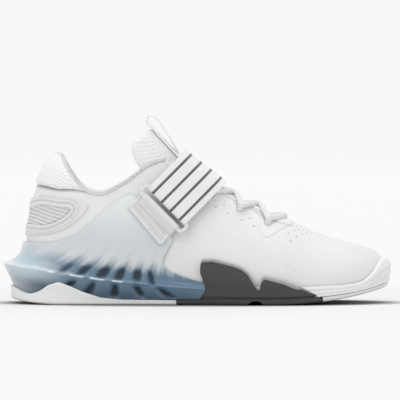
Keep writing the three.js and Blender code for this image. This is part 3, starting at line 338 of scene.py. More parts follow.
# Heel frame's rays: share at the foot, share at the top, top height outside and inside
RAYS = np.array(
    [
        [0.06, 0.05, 0.411, 0.411],
        [0.084, 0.066, 0.414, 0.414],
        [0.108, 0.09, 0.413, 0.413],
        [0.133, 0.12, 0.412, 0.412],
        [0.163, 0.152, 0.43, 0.42],
        [0.195, 0.188, 0.468, 0.44],
        [0.232, 0.232, 0.555, 0.48],
        [0.265, 0.27, 0.642, 0.525],
        [0.292, 0.302, 0.704, 0.56],
        [0.314, 0.324, 0.735, 0.575],
        [0.334, 0.352, 0.708, 0.565],
        [0.352, 0.395, 0.6, 0.51],
        [0.372, 0.438, 0.45, 0.42],
        [0.393, 0.422, 0.36, 0.35],
        [0.413, 0.413, 0.305, 0.3],
        [0.434, 0.416, 0.262, 0.262],
        [0.455, 0.43, 0.228, 0.228],
        [0.482, 0.46, 0.193, 0.193],
        [0.516, 0.508, 0.152, 0.152],
        [0.535, 0.53, 0.14, 0.14],
    ]
)
FRAME_FRONT = 0.512
# The cup's rays: the point that they aim at, mm, and the angle of each slot about it, degrees
FAN_CENTRE = (74.0, 87.0)
FAN_ANGLES = [10.0, 20.0, 29.5, 36.8, 43.5, 51.0, 59.5, 68.6, 77.5, 86.5, 95.5, 104.5, 114.0, 124.0]
SLOTS = [
    [[0.14, 0.212], [0.154, 0.215], [0.181, 0.265], [0.16, 0.251]],
    [[0.192, 0.206], [0.212, 0.21], [0.23, 0.26], [0.205, 0.242]],
    [[0.242, 0.193], [0.265, 0.188], [0.277, 0.245], [0.256, 0.238]],
    [[0.289, 0.183], [0.306, 0.17], [0.316, 0.236], [0.301, 0.233]],
    [[0.337, 0.174], [0.354, 0.167], [0.355, 0.224], [0.34, 0.221]],
    [[0.378, 0.156], [0.391, 0.14], [0.384, 0.212], [0.374, 0.218]],
    [[0.16, 0.118], [0.18, 0.12], [0.191, 0.156], [0.173, 0.156]],
    [[0.211, 0.07], [0.23, 0.07], [0.24, 0.138], [0.226, 0.137]],
    [[0.28, 0.057], [0.298, 0.057], [0.296, 0.127], [0.285, 0.127]],
    [[0.348, 0.066], [0.364, 0.057], [0.353, 0.116], [0.339, 0.116]],
    [[0.417, 0.057], [0.442, 0.047], [0.417, 0.097], [0.4, 0.102]],
]
# Midsole: share of the length, top, flare at the top, flare at the foot
MIDSOLE = [
    [0.49, 0.142, 0.022, 0.026],
    [0.516, 0.137, 0.022, 0.026],
    [0.6, 0.128, 0.022, 0.026],
    [0.7, 0.117, 0.022, 0.028],
    [0.75, 0.117, 0.026, 0.036],
    [0.78, 0.122, 0.032, 0.044],
    [0.82, 0.127, 0.034, 0.047],
    [0.87, 0.131, 0.034, 0.047],
    [0.905, 0.141, 0.034, 0.045],
    [0.925, 0.16, 0.033, 0.043],
    [0.94, 0.195, 0.031, 0.042],
    [0.95, 0.228, 0.03, 0.042],
    [0.957, 0.262, 0.031, 0.046],
    [0.966, 0.29, 0.037, 0.052],
    [0.976, 0.302, 0.044, 0.058],
]
# Dark tread: share of the length, top with its fins
FINS = [
    [0.4525, 0.033],
    [0.5135, 0.034],
    [0.5165, 0.285],
    [0.522, 0.302],
    [0.5417, 0.304],
    [0.5912, 0.272],
    [0.6142, 0.25],
    [0.6308, 0.218],
    [0.654, 0.12],
    [0.662, 0.112],
    [0.6645, 0.163],
    [0.672, 0.189],
    [0.7233, 0.151],
    [0.753, 0.117],
    [0.7653, 0.12],
    [0.799, 0.069],
    [0.8162, 0.034],
]
# White wedge of the heel: share of the length, top, spread
WAVE = [
    [0.06, 0.122, 0.03],
    [0.078, 0.086, 0.028],
    [0.092, 0.068, 0.026],
    [0.108, 0.088, 0.023],
    [0.13, 0.13, 0.019],
    [0.153, 0.153, 0.017],
    [0.182, 0.122, 0.014],
    [0.21, 0.087, 0.012],
    [0.255, 0.049, 0.007],
    [0.303, 0.035, 0.004],
    [0.45, 0.031, 0.002],
]
# Grooves across the tread: share of the length, width, depth, lean
GROOVES = [
    [0.09, 1.6, 1.4, 0.2],
    [0.135, 1.6, 1.4, 0.2],
    [0.24, 1.6, 1.4, 0.2],
    [0.285, 1.6, 1.4, 0.2],
    [0.33, 1.6, 1.4, 0.1],
    [0.54, 1.8, 1.6, -0.1],
    [0.58, 1.8, 1.6, -0.1],
    [0.72, 1.8, 1.6, 0.15],
    [0.76, 1.8, 1.6, 0.2],
    [0.85, 1.8, 1.3, 0.25],
    [0.885, 1.8, 1.3, 0.3],
    [0.92, 1.8, 1.2, 0.35],
]
# Arch cut in the dark tread's foot, and its height from end to end in millimetres
FLEX_RECESS = [
    [0.629, -0.03], [0.632, 0.012], [0.64, 0.024], [0.65, 0.028], [0.66, 0.024], [0.668, 0.012],
    [0.671, -0.03],
]  # fmt: skip
ARCH_RISE = [0, 1.9, 2.7, 3.1, 3.2, 3.1, 2.7, 1.9, 0]
# Trim of the upper in the side view, as shares of the length and the collar height
COUNTER = [
    [-0.05, 0.46], [-0.05, 0.712], [0.079, 0.713], [0.093, 0.732], [0.111, 0.736], [0.139, 0.724],
    [0.172, 0.713],
    [0.205, 0.702], [0.22, 0.683], [0.2225, 0.644], [0.21, 0.601], [0.189, 0.549], [0.164, 0.506],
    [0.136, 0.476],
    [0.106, 0.461], [0.083, 0.459],
]  # fmt: skip
WINDOW = [
    [-0.05, 0.545], [-0.05, 0.63], [0.07, 0.636], [0.083, 0.653], [0.103, 0.663], [0.1225, 0.657],
    [0.147, 0.647],
    [0.169, 0.644], [0.1746, 0.631], [0.164, 0.597], [0.146, 0.567], [0.1225, 0.54], [0.098, 0.53],
    [0.073, 0.536],
]  # fmt: skip
KNIT = [
    [-0.05, 1.1], [-0.05, 0.79], [0.084, 0.806], [0.14, 0.78], [0.185, 0.776], [0.2124, 0.765],
    [0.235, 0.74],
    [0.24, 0.76], [0.2, 0.86], [0.16, 0.97], [0.15, 1.1],
]  # fmt: skip
STAY = [
    [0.44, 1.0], [0.43, 0.9], [0.447, 0.82], [0.49, 0.735], [0.548, 0.672], [0.57, 0.684], [0.581, 0.672],
    [0.59, 0.634], [0.603, 0.592], [0.622, 0.598], [0.634, 0.605], [0.645, 0.59], [0.655, 0.552],
    [0.6617, 0.5],
    [0.67, 0.461], [0.68, 0.449], [0.691, 0.461], [0.711, 0.492], [0.736, 0.524], [0.749, 0.538],
    [0.757, 0.56],
    [0.74, 0.6], [0.6, 0.85], [0.5, 1.0],
]  # fmt: skip
PANEL = [[0.363, 0.743], [0.32, 0.652], [0.407, 0.385], [0.438, 0.476]]
# Tongue: share of the length, height, half width, drop of its edges, lean, thickness
TONGUE_PATH = [
    [0.379, 1.168, 0.15, 0.135, 0.95, 0.018],
    [0.3855, 1.166, 0.19, 0.175, 0.95, 0.04],
    [0.398, 1.13, 0.205, 0.22, 0.93, 0.048],
    [0.418, 1.076, 0.205, 0.25, 0.88, 0.048],
    [0.44, 1.015, 0.2, 0.24, 0.8, 0.048],
    [0.47, 0.942, 0.195, 0.21, 0.66, 0.048],
    [0.508, 0.855, 0.19, 0.15, 0.5, 0.046],
    [0.56, 0.755, 0.18, 0.105, 0.42, 0.044],
    [0.62, 0.664, 0.165, 0.078, 0.42, 0.04],
    [0.68, 0.583, 0.15, 0.06, 0.45, 0.034],
    [0.73, 0.534, 0.135, 0.045, 0.4, 0.026],
    [0.77, 0.5, 0.12, 0.035, 0.35, 0.018],
]
EYELETS = [[0.681, 0.538], [0.608, 0.628], [0.537, 0.731]]
# Each bar or crossing: outer eyelet, inner eyelet, and where its hump lies in the side view
LACES = [
    [0, 0, [0.728, 0.589]],
    [0, 1, [0.66, 0.668]],
    [1, 0, [0.66, 0.668]],
    [1, 2, [0.597, 0.744]],
    [2, 1, [0.597, 0.744]],
]
# Loop of tape at the tongue's top: share of the length, height
LOOP_PATH = [
    [0.4525, 1.0105], [0.435, 1.095], [0.411, 1.192], [0.3995, 1.24], [0.388, 1.2615],
    [0.3765, 1.2615], [0.371, 1.237],
    [0.372, 1.212], [0.382, 1.186], [0.3935, 1.159], [0.4065, 1.1255], [0.4225, 1.0835], [0.4395, 1.037],
]  # fmt: skip
RING_AT = [0.412, 0.631]
BAR_RISE = 5.2
# Pinholes of the quarter and the vamp in the side view, in millimetres
PINHOLES = [
    (109.8, 74.8), (116.1, 75.9), (118.9, 70.0), (129.5, 64.7), (136.0, 66.0), (138.8, 60.2), (165.5, 54.9),
    (167.3, 49.2), (171.8, 52.0), (170.5, 56.7), (176.5, 53.9), (180.4, 54.4), (184.2, 54.4), (187.8, 54.2),
    (168.8, 59.4), (172.0, 59.4), (174.1, 57.4), (177.8, 57.0), (181.1, 56.3), (190.6, 52.5), (194.3, 52.1),
]  # fmt: skip
CREASE = [(75.8, 59.3), (97.6, 61.9), (127.3, 50.0), (147.2, 40.0), (167.0, 29.1), (181.8, 21.2)]
PAD_EDGE = [(-40.0, 90.0), (-29.8, 92.2), (-13.0, 89.4), (0.5, 88.6), (8.7, 87.4)]
RING_GAP = [(56.0, 88.5), (70.5, 73.4), (85.0, 58.5)]
THROAT_SEAM = [(78, 105.5), (114.0, 84.3), (131.0, 75.2), (147.9, 66.0), (159.7, 61.6), (167.5, 60.2)]


def closed_curve(points, steps=6):
    """A closed outline rounded through its points."""
    p = np.asarray(points, float)
    out = []
    for i in range(len(p)):
        a, b, c, d = p[i - 1], p[i], p[(i + 1) % len(p)], p[(i + 2) % len(p)]
        for f in np.arange(steps) / steps:
            out.append(curve_through(a, b, c, d, f))
    return np.array(out)


def open_curve(points, spacing):
    """A smooth open line through points, resampled at an even spacing."""
    p = np.asarray(points, float)
    p = np.vstack([2 * p[0] - p[1], p, 2 * p[-1] - p[-2]])
    fine = []
    for i in range(1, len(p) - 2):
        a, b, c, d = p[i - 1 : i + 3]
        for f in np.arange(24) / 24:
            fine.append(curve_through(a, b, c, d, f))
    fine.append(p[-2])
    fine = np.array(fine)
    return even_rows(fine, max(int(round(run_along(fine)[-1] / spacing)), 2) + 1)


def outline_mm(shares, steps=6):
    curve = closed_curve(shares, steps)
    return np.stack([along(curve[:, 0]), up(curve[:, 1])], axis=1)


def depth_inside(x, z, outline):
    """Distance to an outline in the side view, positive inside it."""
    shape = np.shape(x)
    q = np.stack([np.ravel(x), np.ravel(z)], axis=1)
    best = np.full(len(q), 1e9)
    inside = np.zeros(len(q), bool)
    for i in range(len(outline)):
        a, b = outline[i - 1], outline[i]
        ab = b - a
        f = np.clip(((q - a) @ ab) / max(ab @ ab, 1e-12), 0, 1)
        best = np.minimum(best, np.linalg.norm(q - a - f[:, None] * ab, axis=1))
        crosses = (a[1] > q[:, 1]) != (b[1] > q[:, 1])
        with np.errstate(divide="ignore", invalid="ignore"):
            at = a[0] + (q[:, 1] - a[1]) * ab[0] / (ab[1] if ab[1] else 1e-12)
        inside ^= crosses & (q[:, 0] < at)
    return np.where(inside, best, -best).reshape(shape)


def distance_to_line(x, z, line):
    q = np.stack([np.ravel(x), np.ravel(z)], axis=1)
    best = np.full(len(q), 1e9)
    for a, b in zip(line[:-1], line[1:]):
        ab = b - a
        f = np.clip(((q - a) @ ab) / max(ab @ ab, 1e-12), 0, 1)
        best = np.minimum(best, np.linalg.norm(q - a - f[:, None] * ab, axis=1))
    return best.reshape(np.shape(x))


# Meshes
def grid_faces(rows, cols, wrap_rows=False, wrap_cols=False, start=0):
    i = np.arange(rows if wrap_rows else rows - 1)
    j = np.arange(cols if wrap_cols else cols - 1)
    ii, jj = np.meshgrid(i, j, indexing="ij")
    i2, j2 = (ii + 1) % rows, (jj + 1) % cols
    quads = np.stack([ii * cols + jj, i2 * cols + jj, i2 * cols + j2, ii * cols + j2], axis=-1)
    return quads.reshape(-1, 4) + start


def tube_faces(rows, size, start=0):
    """Faces of a tube of rings with a cap at each end."""
    caps = [range(size), range((rows - 1) * size, rows * size)]
    return [
        *grid_faces(rows, size, wrap_cols=True, start=start), *[[start + k for k in cap] for cap in caps]
    ]


def make_piece(name, points, faces, material, replaces=(), lay=None, marks=None, merge=0.003):
    """A shaded mesh object from points in millimetres; lay holds each point's place on its cloth or skin."""
    mesh = bpy.data.meshes.new(name)
    points = np.asarray(points, float).reshape(-1, 3) / 1000
    mesh.from_pydata(points.tolist(), [], [list(map(int, f)) for f in faces])
    if lay is not None:
        layer = mesh.attributes.new("lay", "FLOAT_VECTOR", "POINT")
        layer.data.foreach_set("vector", np.asarray(lay, float).reshape(-1, 3).ravel())
    for key, values in (marks or {}).items():
        layer = mesh.attributes.new(key, "FLOAT", "POINT")
        layer.data.foreach_set("value", np.asarray(values, float).ravel())
    bm = bmesh.new()
    bm.from_mesh(mesh)
    bmesh.ops.remove_doubles(bm, verts=bm.verts, dist=merge / 1000)
    bmesh.ops.dissolve_degenerate(bm, dist=merge / 1500, edges=bm.edges)
    bmesh.ops.recalc_face_normals(bm, faces=bm.faces)
    bm.to_mesh(mesh)
    bm.free()
    mesh.validate()
    mesh.shade_smooth()
    mesh.materials.append(finish_of(material))
    piece = bpy.data.objects.new(name, mesh)
    bpy.context.scene.collection.objects.link(piece)
    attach(piece, "root")
    if replaces:
        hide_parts(*replaces)
    return piece


def sharpen(piece, degrees):
    """Keeps edges crisp where faces meet at more than an angle."""
    mesh = piece.data
    bm = bmesh.new()
    bm.from_mesh(mesh)
    limit = math.radians(degrees)
    for edge in bm.edges:
        if len(edge.link_faces) == 2 and edge.calc_face_angle(0) > limit:
            edge.smooth = False
    bm.to_mesh(mesh)
    bm.free()


def closed_grid(outer, inner):
    """Faces of a band with an outer and an inner face, closed at all four edges."""
    rows, cols = outer.shape[:2]
    size = rows * cols
    quads = [grid_faces(rows, cols), grid_faces(rows, cols, start=size)[:, ::-1]]
    place = np.arange(size).reshape(rows, cols)
    index = np.concatenate([place[0], place[1:, -1], place[-1, -2::-1], place[-2:0:-1, 0]])
    after = np.roll(index, -1)
    quads.append(np.stack([index, index + size, after + size, after], axis=1))
    return np.concatenate([outer.reshape(-1, 3), inner.reshape(-1, 3)]), np.concatenate(quads)


def lay_of(points):
    """Arc lengths along both ways of a grid of points, as a place on its cloth."""
    d0 = np.linalg.norm(np.diff(points, axis=0, prepend=points[:1]), axis=-1)
    d1 = np.linalg.norm(np.diff(points, axis=1, prepend=points[:, :1]), axis=-1)
    a = np.cumsum(d0, axis=0)
    b = np.cumsum(d1, axis=1)
    return np.stack([a, b, np.zeros_like(a)], axis=-1)


def patch(name, us, ts, height, material, replaces=(), base=0.0, keep=-0.8, marks=None):
    """A relief on the upper, by a height off the form at each point; what lies below keep is left out."""
    uu, tt = np.meshgrid(us, ts, indexing="ij")
    skin = face(uu, OUT, tt)
    n = outward(uu, OUT, tt)
    lift, inside = height(skin + n * base, uu, tt)
    top = skin + n * lift[..., None]
    foot = skin + n * np.minimum(lift - 0.5, base - 0.3)[..., None]
    rows, cols = uu.shape
    used = inside > keep
    quad_used = used[:-1, :-1] & used[1:, :-1] & used[1:, 1:] & used[:-1, 1:]
    quads = grid_faces(rows, cols).reshape(rows - 1, cols - 1, 4)[quad_used]
    size = rows * cols
    edges = {}
    for q in quads:
        for a, b in zip(q, np.roll(q, -1)):
            key = (min(a, b), max(a, b))
            edges[key] = None if key in edges else (a, b)
    sides = [[b, a, a + size, b + size] for pair in edges.values() if pair for a, b in [pair]]
    faces = np.concatenate([quads, quads[:, ::-1] + size, np.array(sides)])
    points = np.concatenate([top.reshape(-1, 3), foot.reshape(-1, 3)])
    lay = lay_of(skin)
    lay = np.concatenate([lay.reshape(-1, 3)] * 2)
    values = {
        key: np.concatenate([value.ravel()] * 2)
        for key, value in (marks(skin, uu, tt) if marks else {}).items()
    }
    index = np.full(2 * size, -1)
    live = np.unique(faces)
    index[live] = np.arange(len(live))
    values = {key: value[live] for key, value in values.items()}
    return make_piece(name, points[live], index[faces], material, replaces, lay[live], values)


# Shader maths
class Wire:
    """A shader socket that adds its nodes when it is used in an expression."""

    def __init__(self, paint, socket):
        self.paint, self.socket = paint, socket

    def _math(self, operation, *values):
        return self.paint.add("ShaderNodeMath", {"operation": operation}, dict(enumerate(values)))

    def __add__(self, other):
        return self._math("ADD", self, other)

    def __radd__(self, other):
        return self._math("ADD", other, self)

    def __sub__(self, other):
        return self._math("SUBTRACT", self, other)

    def __rsub__(self, other):
        return self._math("SUBTRACT", other, self)

    def __mul__(self, other):
        return self._math("MULTIPLY", self, other)

    def __rmul__(self, other):
        return self._math("MULTIPLY", other, self)

    def __pow__(self, other):
        return self._math("POWER", self, other)

    def sin(self):
        return self._math("SINE", self)

    def absolute(self):
        return self._math("ABSOLUTE", self)

    def fraction(self):
        return self._math("FRACT", self)

    def most(self, other):
        return self._math("MAXIMUM", self, other)

    def between(self, low, high):
        """0 below low, 1 above high, smooth in the middle."""
        inputs = {"Value": self, "From Min": low, "From Max": high}
        return self.paint.add("ShaderNodeMapRange", {"interpolation_type": "SMOOTHSTEP"}, inputs)


class Paint:
    """One procedural material and its nodes."""

    def __init__(self, name, **constants):
        self.material = bpy.data.materials.new(name)
        self.material.use_nodes = True
        self.tree = self.material.node_tree
        self.shader = self.tree.nodes["Principled BSDF"]
        for key, value in constants.items():
            self.shader.inputs[key.replace("_", " ")].default_value = value

    def add(self, kind, settings=None, inputs=None, output=0):
        """A node of a kind with its settings and inputs, as the wire from one of its outputs."""
        node = self.tree.nodes.new(kind)
        for key, value in (settings or {}).items():
            setattr(node, key, value)
        for key, value in (inputs or {}).items():
            self.put(node.inputs[key], value)
        return Wire(self, node.outputs[output])

    def put(self, socket, value):
        if isinstance(value, Wire):
            self.tree.links.new(value.socket, socket)
        else:
            socket.default_value = value

    def mark(self, name):
        """A number that the mesh carries at each point."""
        return self.add("ShaderNodeAttribute", {"attribute_name": name}, output="Fac")

    def first_two(self, vector):
        """A vector's x and y."""
        x = self.add("ShaderNodeSeparateXYZ", inputs={"Vector": vector})
        return x, Wire(self, x.socket.node.outputs[1])

    def lay(self):
        """Place on the cloth or skin in millimetres: along, across."""
        return self.first_two(self.add("ShaderNodeAttribute", {"attribute_name": "lay"}, output="Vector"))

    def place(self):
        """The point in the part's frame, in metres."""
        return self.add("ShaderNodeTexCoord", output="Object")

    def noise(self, scale, detail):
        inputs = {"Vector": self.place(), "Scale": scale, "Detail": detail}
        return self.add("ShaderNodeTexNoise", inputs=inputs)

    def cells(self, scale):
        return self.add("ShaderNodeTexVoronoi", inputs={"Vector": self.place(), "Scale": scale})

    def blend(self, factor, first, second):
        """The first colour, or as far as the factor goes the second."""
        inputs = {0: factor, 6: first, 7: second}
        return self.add("ShaderNodeMix", {"data_type": "RGBA"}, inputs, output=2)

    def colour(self, value):
        self.put(self.shader.inputs["Base Color"], value)

    def rough(self, value):
        self.put(self.shader.inputs["Roughness"], value)

    def bump(self, height, distance, strength=1.0):
        """Relief from a height of 0 to 1 that stands distance millimetres tall."""
        inputs = {"Height": height, "Distance": distance / 1000, "Strength": strength}
        self.put(self.shader.inputs["Normal"], self.add("ShaderNodeBump", {}, inputs))
        return self.material


def tone(value, gain=1.0):
    """A colour for a socket, lighter or darker by a gain."""
    return (*[min(c * gain, 1.0) for c in value[:3]], 1.0)


MATERIALS = {}


def finish_of(make):
    """The material that a function paints, made once."""
    if make not in MATERIALS:
        MATERIALS[make] = make(bpy.context.scene.shoe_colours)
    return MATERIALS[make]


def leather(c):
    p = Paint("white_leather", Roughness=0.48, Specular_IOR_Level=0.35)
    grain = p.cells(1500.0)
    fine = p.noise(2600.0, 3.0)
    cloud = p.noise(28.0, 3.0)
    shade = cloud.between(0.3, 0.75) * 0.5 + fine * 0.2
    base = p.blend(shade, tone(c.leather), tone(c.leather, 0.93))
    # Painted shade: much darker where the skin carries the mark, under the heel pad's edge and in the strap
    # ring's gap
    p.colour(p.blend(p.mark("painted_shade"), base, tone(c.leather, 0.25)))
    p.rough(0.42 + fine * 0.16)
    return p.bump(grain * 0.7 + fine * 0.3, 0.06, 0.5)


def knit(c):
    p = Paint("pale_knit", Roughness=0.85, Sheen_Weight=0.25, Specular_IOR_Level=0.2)
    a, b = p.lay()
    wale = (a + b * 0.85) * (2 * math.pi / 4.4)
    course = (a - b * 0.85) * (2 * math.pi / 4.4)
    cloth = (wale.sin() * course.sin()) * 0.45 + 0.5
    fuzz = p.noise(1900.0, 2.0)
    height = cloth + fuzz * 0.12
    base = p.blend(height.between(0.05, 0.7), tone(c.knit, 0.86), tone(c.knit))
    twist = ((a * 1.1 + b * 0.9) * (2 * math.pi / TWIST_PITCH)).sin() * 0.4 + 0.35
    p.colour(p.blend(p.mark("roll") * twist, base, tone(c.knit, 0.5)))
    return p.bump(height, 0.3, 0.7)


def mesh_cloth(c):
    p = Paint("grey_mesh", Roughness=0.8, Specular_IOR_Level=0.2)
    a, b = p.lay()
    hole = ((a + b * 0.7) * (2 * math.pi / 3.9)).sin() * ((a - b * 0.7) * (2 * math.pi / 3.9)).sin()
    height = hole.between(-0.75, 0.35)
    fuzz = p.noise(1500.0, 2.0)
    p.colour(p.blend(height * 0.85 + fuzz * 0.15, tone(c.mesh, 0.6), tone(c.mesh)))
    return p.bump(height, 0.5, 0.8)


def film(c):
    p = Paint("moulded_film", Roughness=0.42, Specular_IOR_Level=0.4)
    speck = p.noise(900.0, 2.0)
    # Painted shade: darker in the ring's grooves, as deep as the groove mark says, with random specks
    groove = p.mark("groove")
    shade = groove * 0.8 + speck * 0.15
    p.colour(p.blend(shade, tone(c.film), tone(c.film, 0.72)))
    return p.bump(speck, 0.05, 0.5)


def clear_cup(c):
    p = Paint("clear_cup", Roughness=0.24, Coat_Weight=0.3, Coat_Roughness=0.12, Specular_IOR_Level=0.4)
    haze = p.noise(60.0, 3.0)
    blue = p.mark("blue")
    low = p.mark("low")
    ray = p.mark("ray")
    pocket = p.mark("pocket")
    glint = p.mark("glint")
    base = p.blend(p.mark("top"), tone(c.cup_pale), tone(c.cup_top))
    base = p.blend(p.mark("heel") * 0.85, base, tone(c.cup_heel))
    base = p.blend(blue, base, tone(c.cup_blue))
    base = p.blend(low, base, tone(c.cup_low))
    base = p.blend((ray + haze * 0.5).between(0.0, 2.4) * 0.4, base, tone(c.cup_top, 0.95))
    # Painted shade: the slots' pockets are near black
    base = p.blend(pocket.between(0.0, 1.0), base, tone(c.cup_slot_shade))
    base = p.blend(glint, base, (0.85, 0.88, 0.9, 1.0))
    p.colour(base)
    p.rough(0.2 + pocket * 0.35)
    return p.bump(haze, 0.15, 0.4)


def dark_rubber(c):
    p = Paint("dark_rubber", Roughness=0.55, Specular_IOR_Level=0.35)
    grit = p.noise(1400.0, 3.0)
    cloud = p.noise(40.0, 2.0)
    rim = p.mark("rim")
    tread_shade = p.mark("tread")
    base = p.blend(cloud * 0.5 + grit * 0.2, tone(c.dark), tone(c.dark, 0.75))
    # Painted highlight: a far lighter band along the fins' top edge
    base = p.blend(rim, base, tone(c.dark, 5.0))
    # Painted shade in the tread's grooves, its arch recess, the belt groove and under the rim's step
    base = p.blend((tread_shade * 0.4).most(p.mark("belt") * 0.75), base, tone(c.dark, 0.3))
    p.colour(base)
    p.rough(0.5 + grit * 0.2)
    return p.bump(grit, 0.08, 0.6)


def white_rubber(c):
    p = Paint("white_rubber", Roughness=0.5, Specular_IOR_Level=0.35)
    grit = p.noise(1100.0, 2.0)
    tread = p.mark("tread")
    cloud = p.noise(35.0, 2.0)
    # Painted shade: darker in the tread's grooves and the foam's side groove, with random clouds
    p.colour(p.blend(tread * 0.6 + cloud * 0.15, tone(c.white), tone(c.white, 0.7)))
    p.rough(0.42 + grit * 0.15)
    return p.bump(grit, 0.05, 0.5)


def webbing(c):
    p = Paint("webbing", Roughness=0.8, Sheen_Weight=0.2, Specular_IOR_Level=0.2)
    a, b = p.lay()
    rows = (a * (2 * math.pi / 1.15)).sin()
    warp = (b * (2 * math.pi / 1.6)).sin()
    weave = rows * 0.3 + warp * 0.2 + 0.5
    stripe = None
    for at in (-14.4, -4.7, 4.8, 14.5):
        line = 1.0 - (b - at).absolute().between(0.85, 1.25)
        stripe = line if stripe is None else stripe.most(line)
    dash = (a * (1 / 1.9)).fraction()
    dash = 1.0 - (dash - 0.5).absolute().between(0.22, 0.4)
    thread = p.noise(1700.0, 2.0)
    base = p.blend(weave * 0.6 + thread * 0.4, tone(c.webbing, 0.88), tone(c.webbing))
    ink = p.blend(dash, tone(c.stripe, 4.5), tone(c.stripe))
    p.colour(p.blend(stripe, base, ink))
    return p.bump(weave + stripe * 0.2, 0.22, 0.6)


def cord(c):
    p = Paint("white_cord", Roughness=0.8, Sheen_Weight=0.3, Specular_IOR_Level=0.2)
    a, b = p.lay()
    plait = ((a + b) * (2 * math.pi / 1.7)).sin() * ((a - b) * (2 * math.pi / 1.7)).sin()
    fuzz = p.noise(2200.0, 2.0)
    height = plait * 0.4 + 0.5 + fuzz * 0.1
    p.colour(p.blend(height, tone(c.cord, 0.8), tone(c.cord)))
    return p.bump(height, 0.25, 0.8)


def tape(c):
    p = Paint("pull_tape", Roughness=0.8, Sheen_Weight=0.3, Specular_IOR_Level=0.2)
    a, b = p.lay()
    rows = (a * (2 * math.pi / 1.9)).sin() * 0.35 + (b * (2 * math.pi / 2.3)).sin() * 0.15 + 0.5
    fuzz = p.noise(1500.0, 2.0)
    p.colour(p.blend(rows * 0.5 + fuzz * 0.3, tone(c.cord, 0.94), tone(c.cord, 1.04)))
    return p.bump(rows, 0.03, 0.4)


def moulded(c):
    p = Paint("moulded_trim", Roughness=0.4, Specular_IOR_Level=0.45)
    speck = p.noise(800.0, 2.0)
    # Painted shade: darker in the troughs between the keeper plate's ribs, with random specks
    groove = p.mark("groove")
    p.colour(p.blend(groove * 0.9 + speck * 0.1, tone(c.moulded), tone(c.moulded, 0.7)))
    p.rough(0.36 + speck * 0.1)
    return p.bump(speck, 0.05, 0.5)


def shadowed(c):
    p = Paint("hole_shadow", Roughness=0.8)
    grit = p.noise(900.0, 1.0)
    p.colour(p.blend(grit, tone(c.hole), tone(c.hole, 0.8)))
    return p.bump(grit, 0.02, 0.3)


def thread(c):
    p = Paint("thread", Roughness=0.7, Sheen_Weight=0.2)
    twist = p.noise(2400.0, 1.0)
    p.colour(p.blend(twist, tone(c.thread), tone(c.thread, 0.85)))
    return p.bump(twist, 0.05, 0.6)


def insole_cloth(c):
    p = Paint("insole_cloth", Roughness=0.9, Sheen_Weight=0.2)
    weave = p.cells(900.0)
    cloud = p.noise(45.0, 3.0)
    p.colour(p.blend(weave * 0.5 + cloud * 0.4, tone(c.insole), tone(c.insole, 0.8)))
    return p.bump(weave, 0.15, 0.7)


def floor_paint(c):
    p = Paint("pale_floor", Roughness=0.9, Specular_IOR_Level=0.1, Emission_Strength=1.0)
    x, y = p.first_two(p.place())
    away = (((x - 0.095) * 0.75) ** 2.0 + y**2.0).between(0.02, 0.16)
    # Painted contact shadow: the floor is darker within an oval round the shoe's sole, fading out towards its
    # edge
    shadow_distance = ((x - 0.096) * 6.2) ** 2.0 + (y * 15.0) ** 2.0
    ground = p.blend(shadow_distance.between(0.7, 1.2), tone(c.floor, 0.38), tone(c.floor))
    p.colour(p.blend(away, ground, (0.0, 0.0, 0.0, 1.0)))
    p.put(p.shader.inputs["Emission Color"], p.blend(away, (0.0, 0.0, 0.0, 1.0), tone(c.backdrop)))
    return p.material


# Pieces
def round_steps(step):
    """Shares round the whole shoe, from the toe over the inner side and the heel to the toe."""
    half = np.linspace(0, 1, int(round(LENGTH / step)) + 1)
    return np.concatenate([-half[:0:-1], half])


def seam_groove(d, width, depth):
    return -depth * bell(d, width)


def build_upper():
    us = round_steps(1.3)
    ts = np.linspace(0, 1, 62)
    uu, tt = np.meshgrid(us, ts, indexing="ij")
    skin = face(uu, OUT, tt)
    n = outward(uu, OUT, tt)
    x, y, z = skin[..., 0], skin[..., 1], skin[..., 2]
    line = open_curve(CREASE, 3.0)
    overlay = distance_to_line(x, z, line)
    below = np.interp(x, line[:, 0], line[:, 1]) > z
    on_crease = smooth(74, 82, x) * (1 - smooth(176, 186, x))
    lift = np.where(below, -0.35 * smooth(0, 1.2, overlay), 0.0) * on_crease
    lift = lift + seam_groove(distance_to_line(x, z, open_curve(THROAT_SEAM, 3.0)), 0.7, 0.3) * (tt < 0.995)
    lift = (
        lift
        - 0.9
        * smooth(0.5, -0.3, distance_to_line(x, z, open_curve(PAD_EDGE, 2.0)) - 1.2)
        * smooth(62, 40, x)
    )
    flex = np.sin((x - 130) * 0.42 + z * 0.12) * bell(x - 146, 20) * bell(z - 46, 12)
    lift = lift + 0.22 * flex
    rows = np.linspace(0, 61, 16).round().astype(int)
    outer = skin + n * lift[..., None]
    inner = skin[:, rows] - n[:, rows] * WALL
    ring = np.concatenate([outer, inner[:, ::-1]], axis=1)
    ring[-1] = ring[0]
    # Painted shade on the outer face: a band under the heel pad's lower edge towards the heel, and a band in
    # the gap by the strap's ring on the outer side
    painted_shade = np.zeros(ring.shape[:2])
    below_pad = smooth(3.4, 1.0, distance_to_line(x, z, open_curve(PAD_EDGE, 2.0)))
    in_gap = bell(distance_to_line(x, z, open_curve(RING_GAP, 3.0)), 2.4) * (y < 0)
    painted_shade[:, : len(ts)] = np.maximum(below_pad * 0.75 * smooth(16, -12, x), in_gap * 0.7 * smooth(52, 80, x))
    lay = lay_of(ring)
    faces = grid_faces(ring.shape[0], ring.shape[1], wrap_cols=True)
    across, around = faces % ring.shape[1], faces // ring.shape[1]
    rim = (across == len(ts) - 1).any(axis=1) & (across == len(ts)).any(axis=1)
    faces = faces[~(rim & (np.abs(us[around]) >= THROAT_END).all(axis=1))]
    marks = {"painted_shade": painted_shade}
    make_piece("upper_shell", ring, faces, leather, ["upper"], lay, marks, merge=0.02)


def ring_steps(d):
    """The heel ring's two soft grooves, from the distance to its window."""
    return -0.5 * bell(d - 3.4, 0.7) - 0.25 * bell(d - 6.6, 0.9)


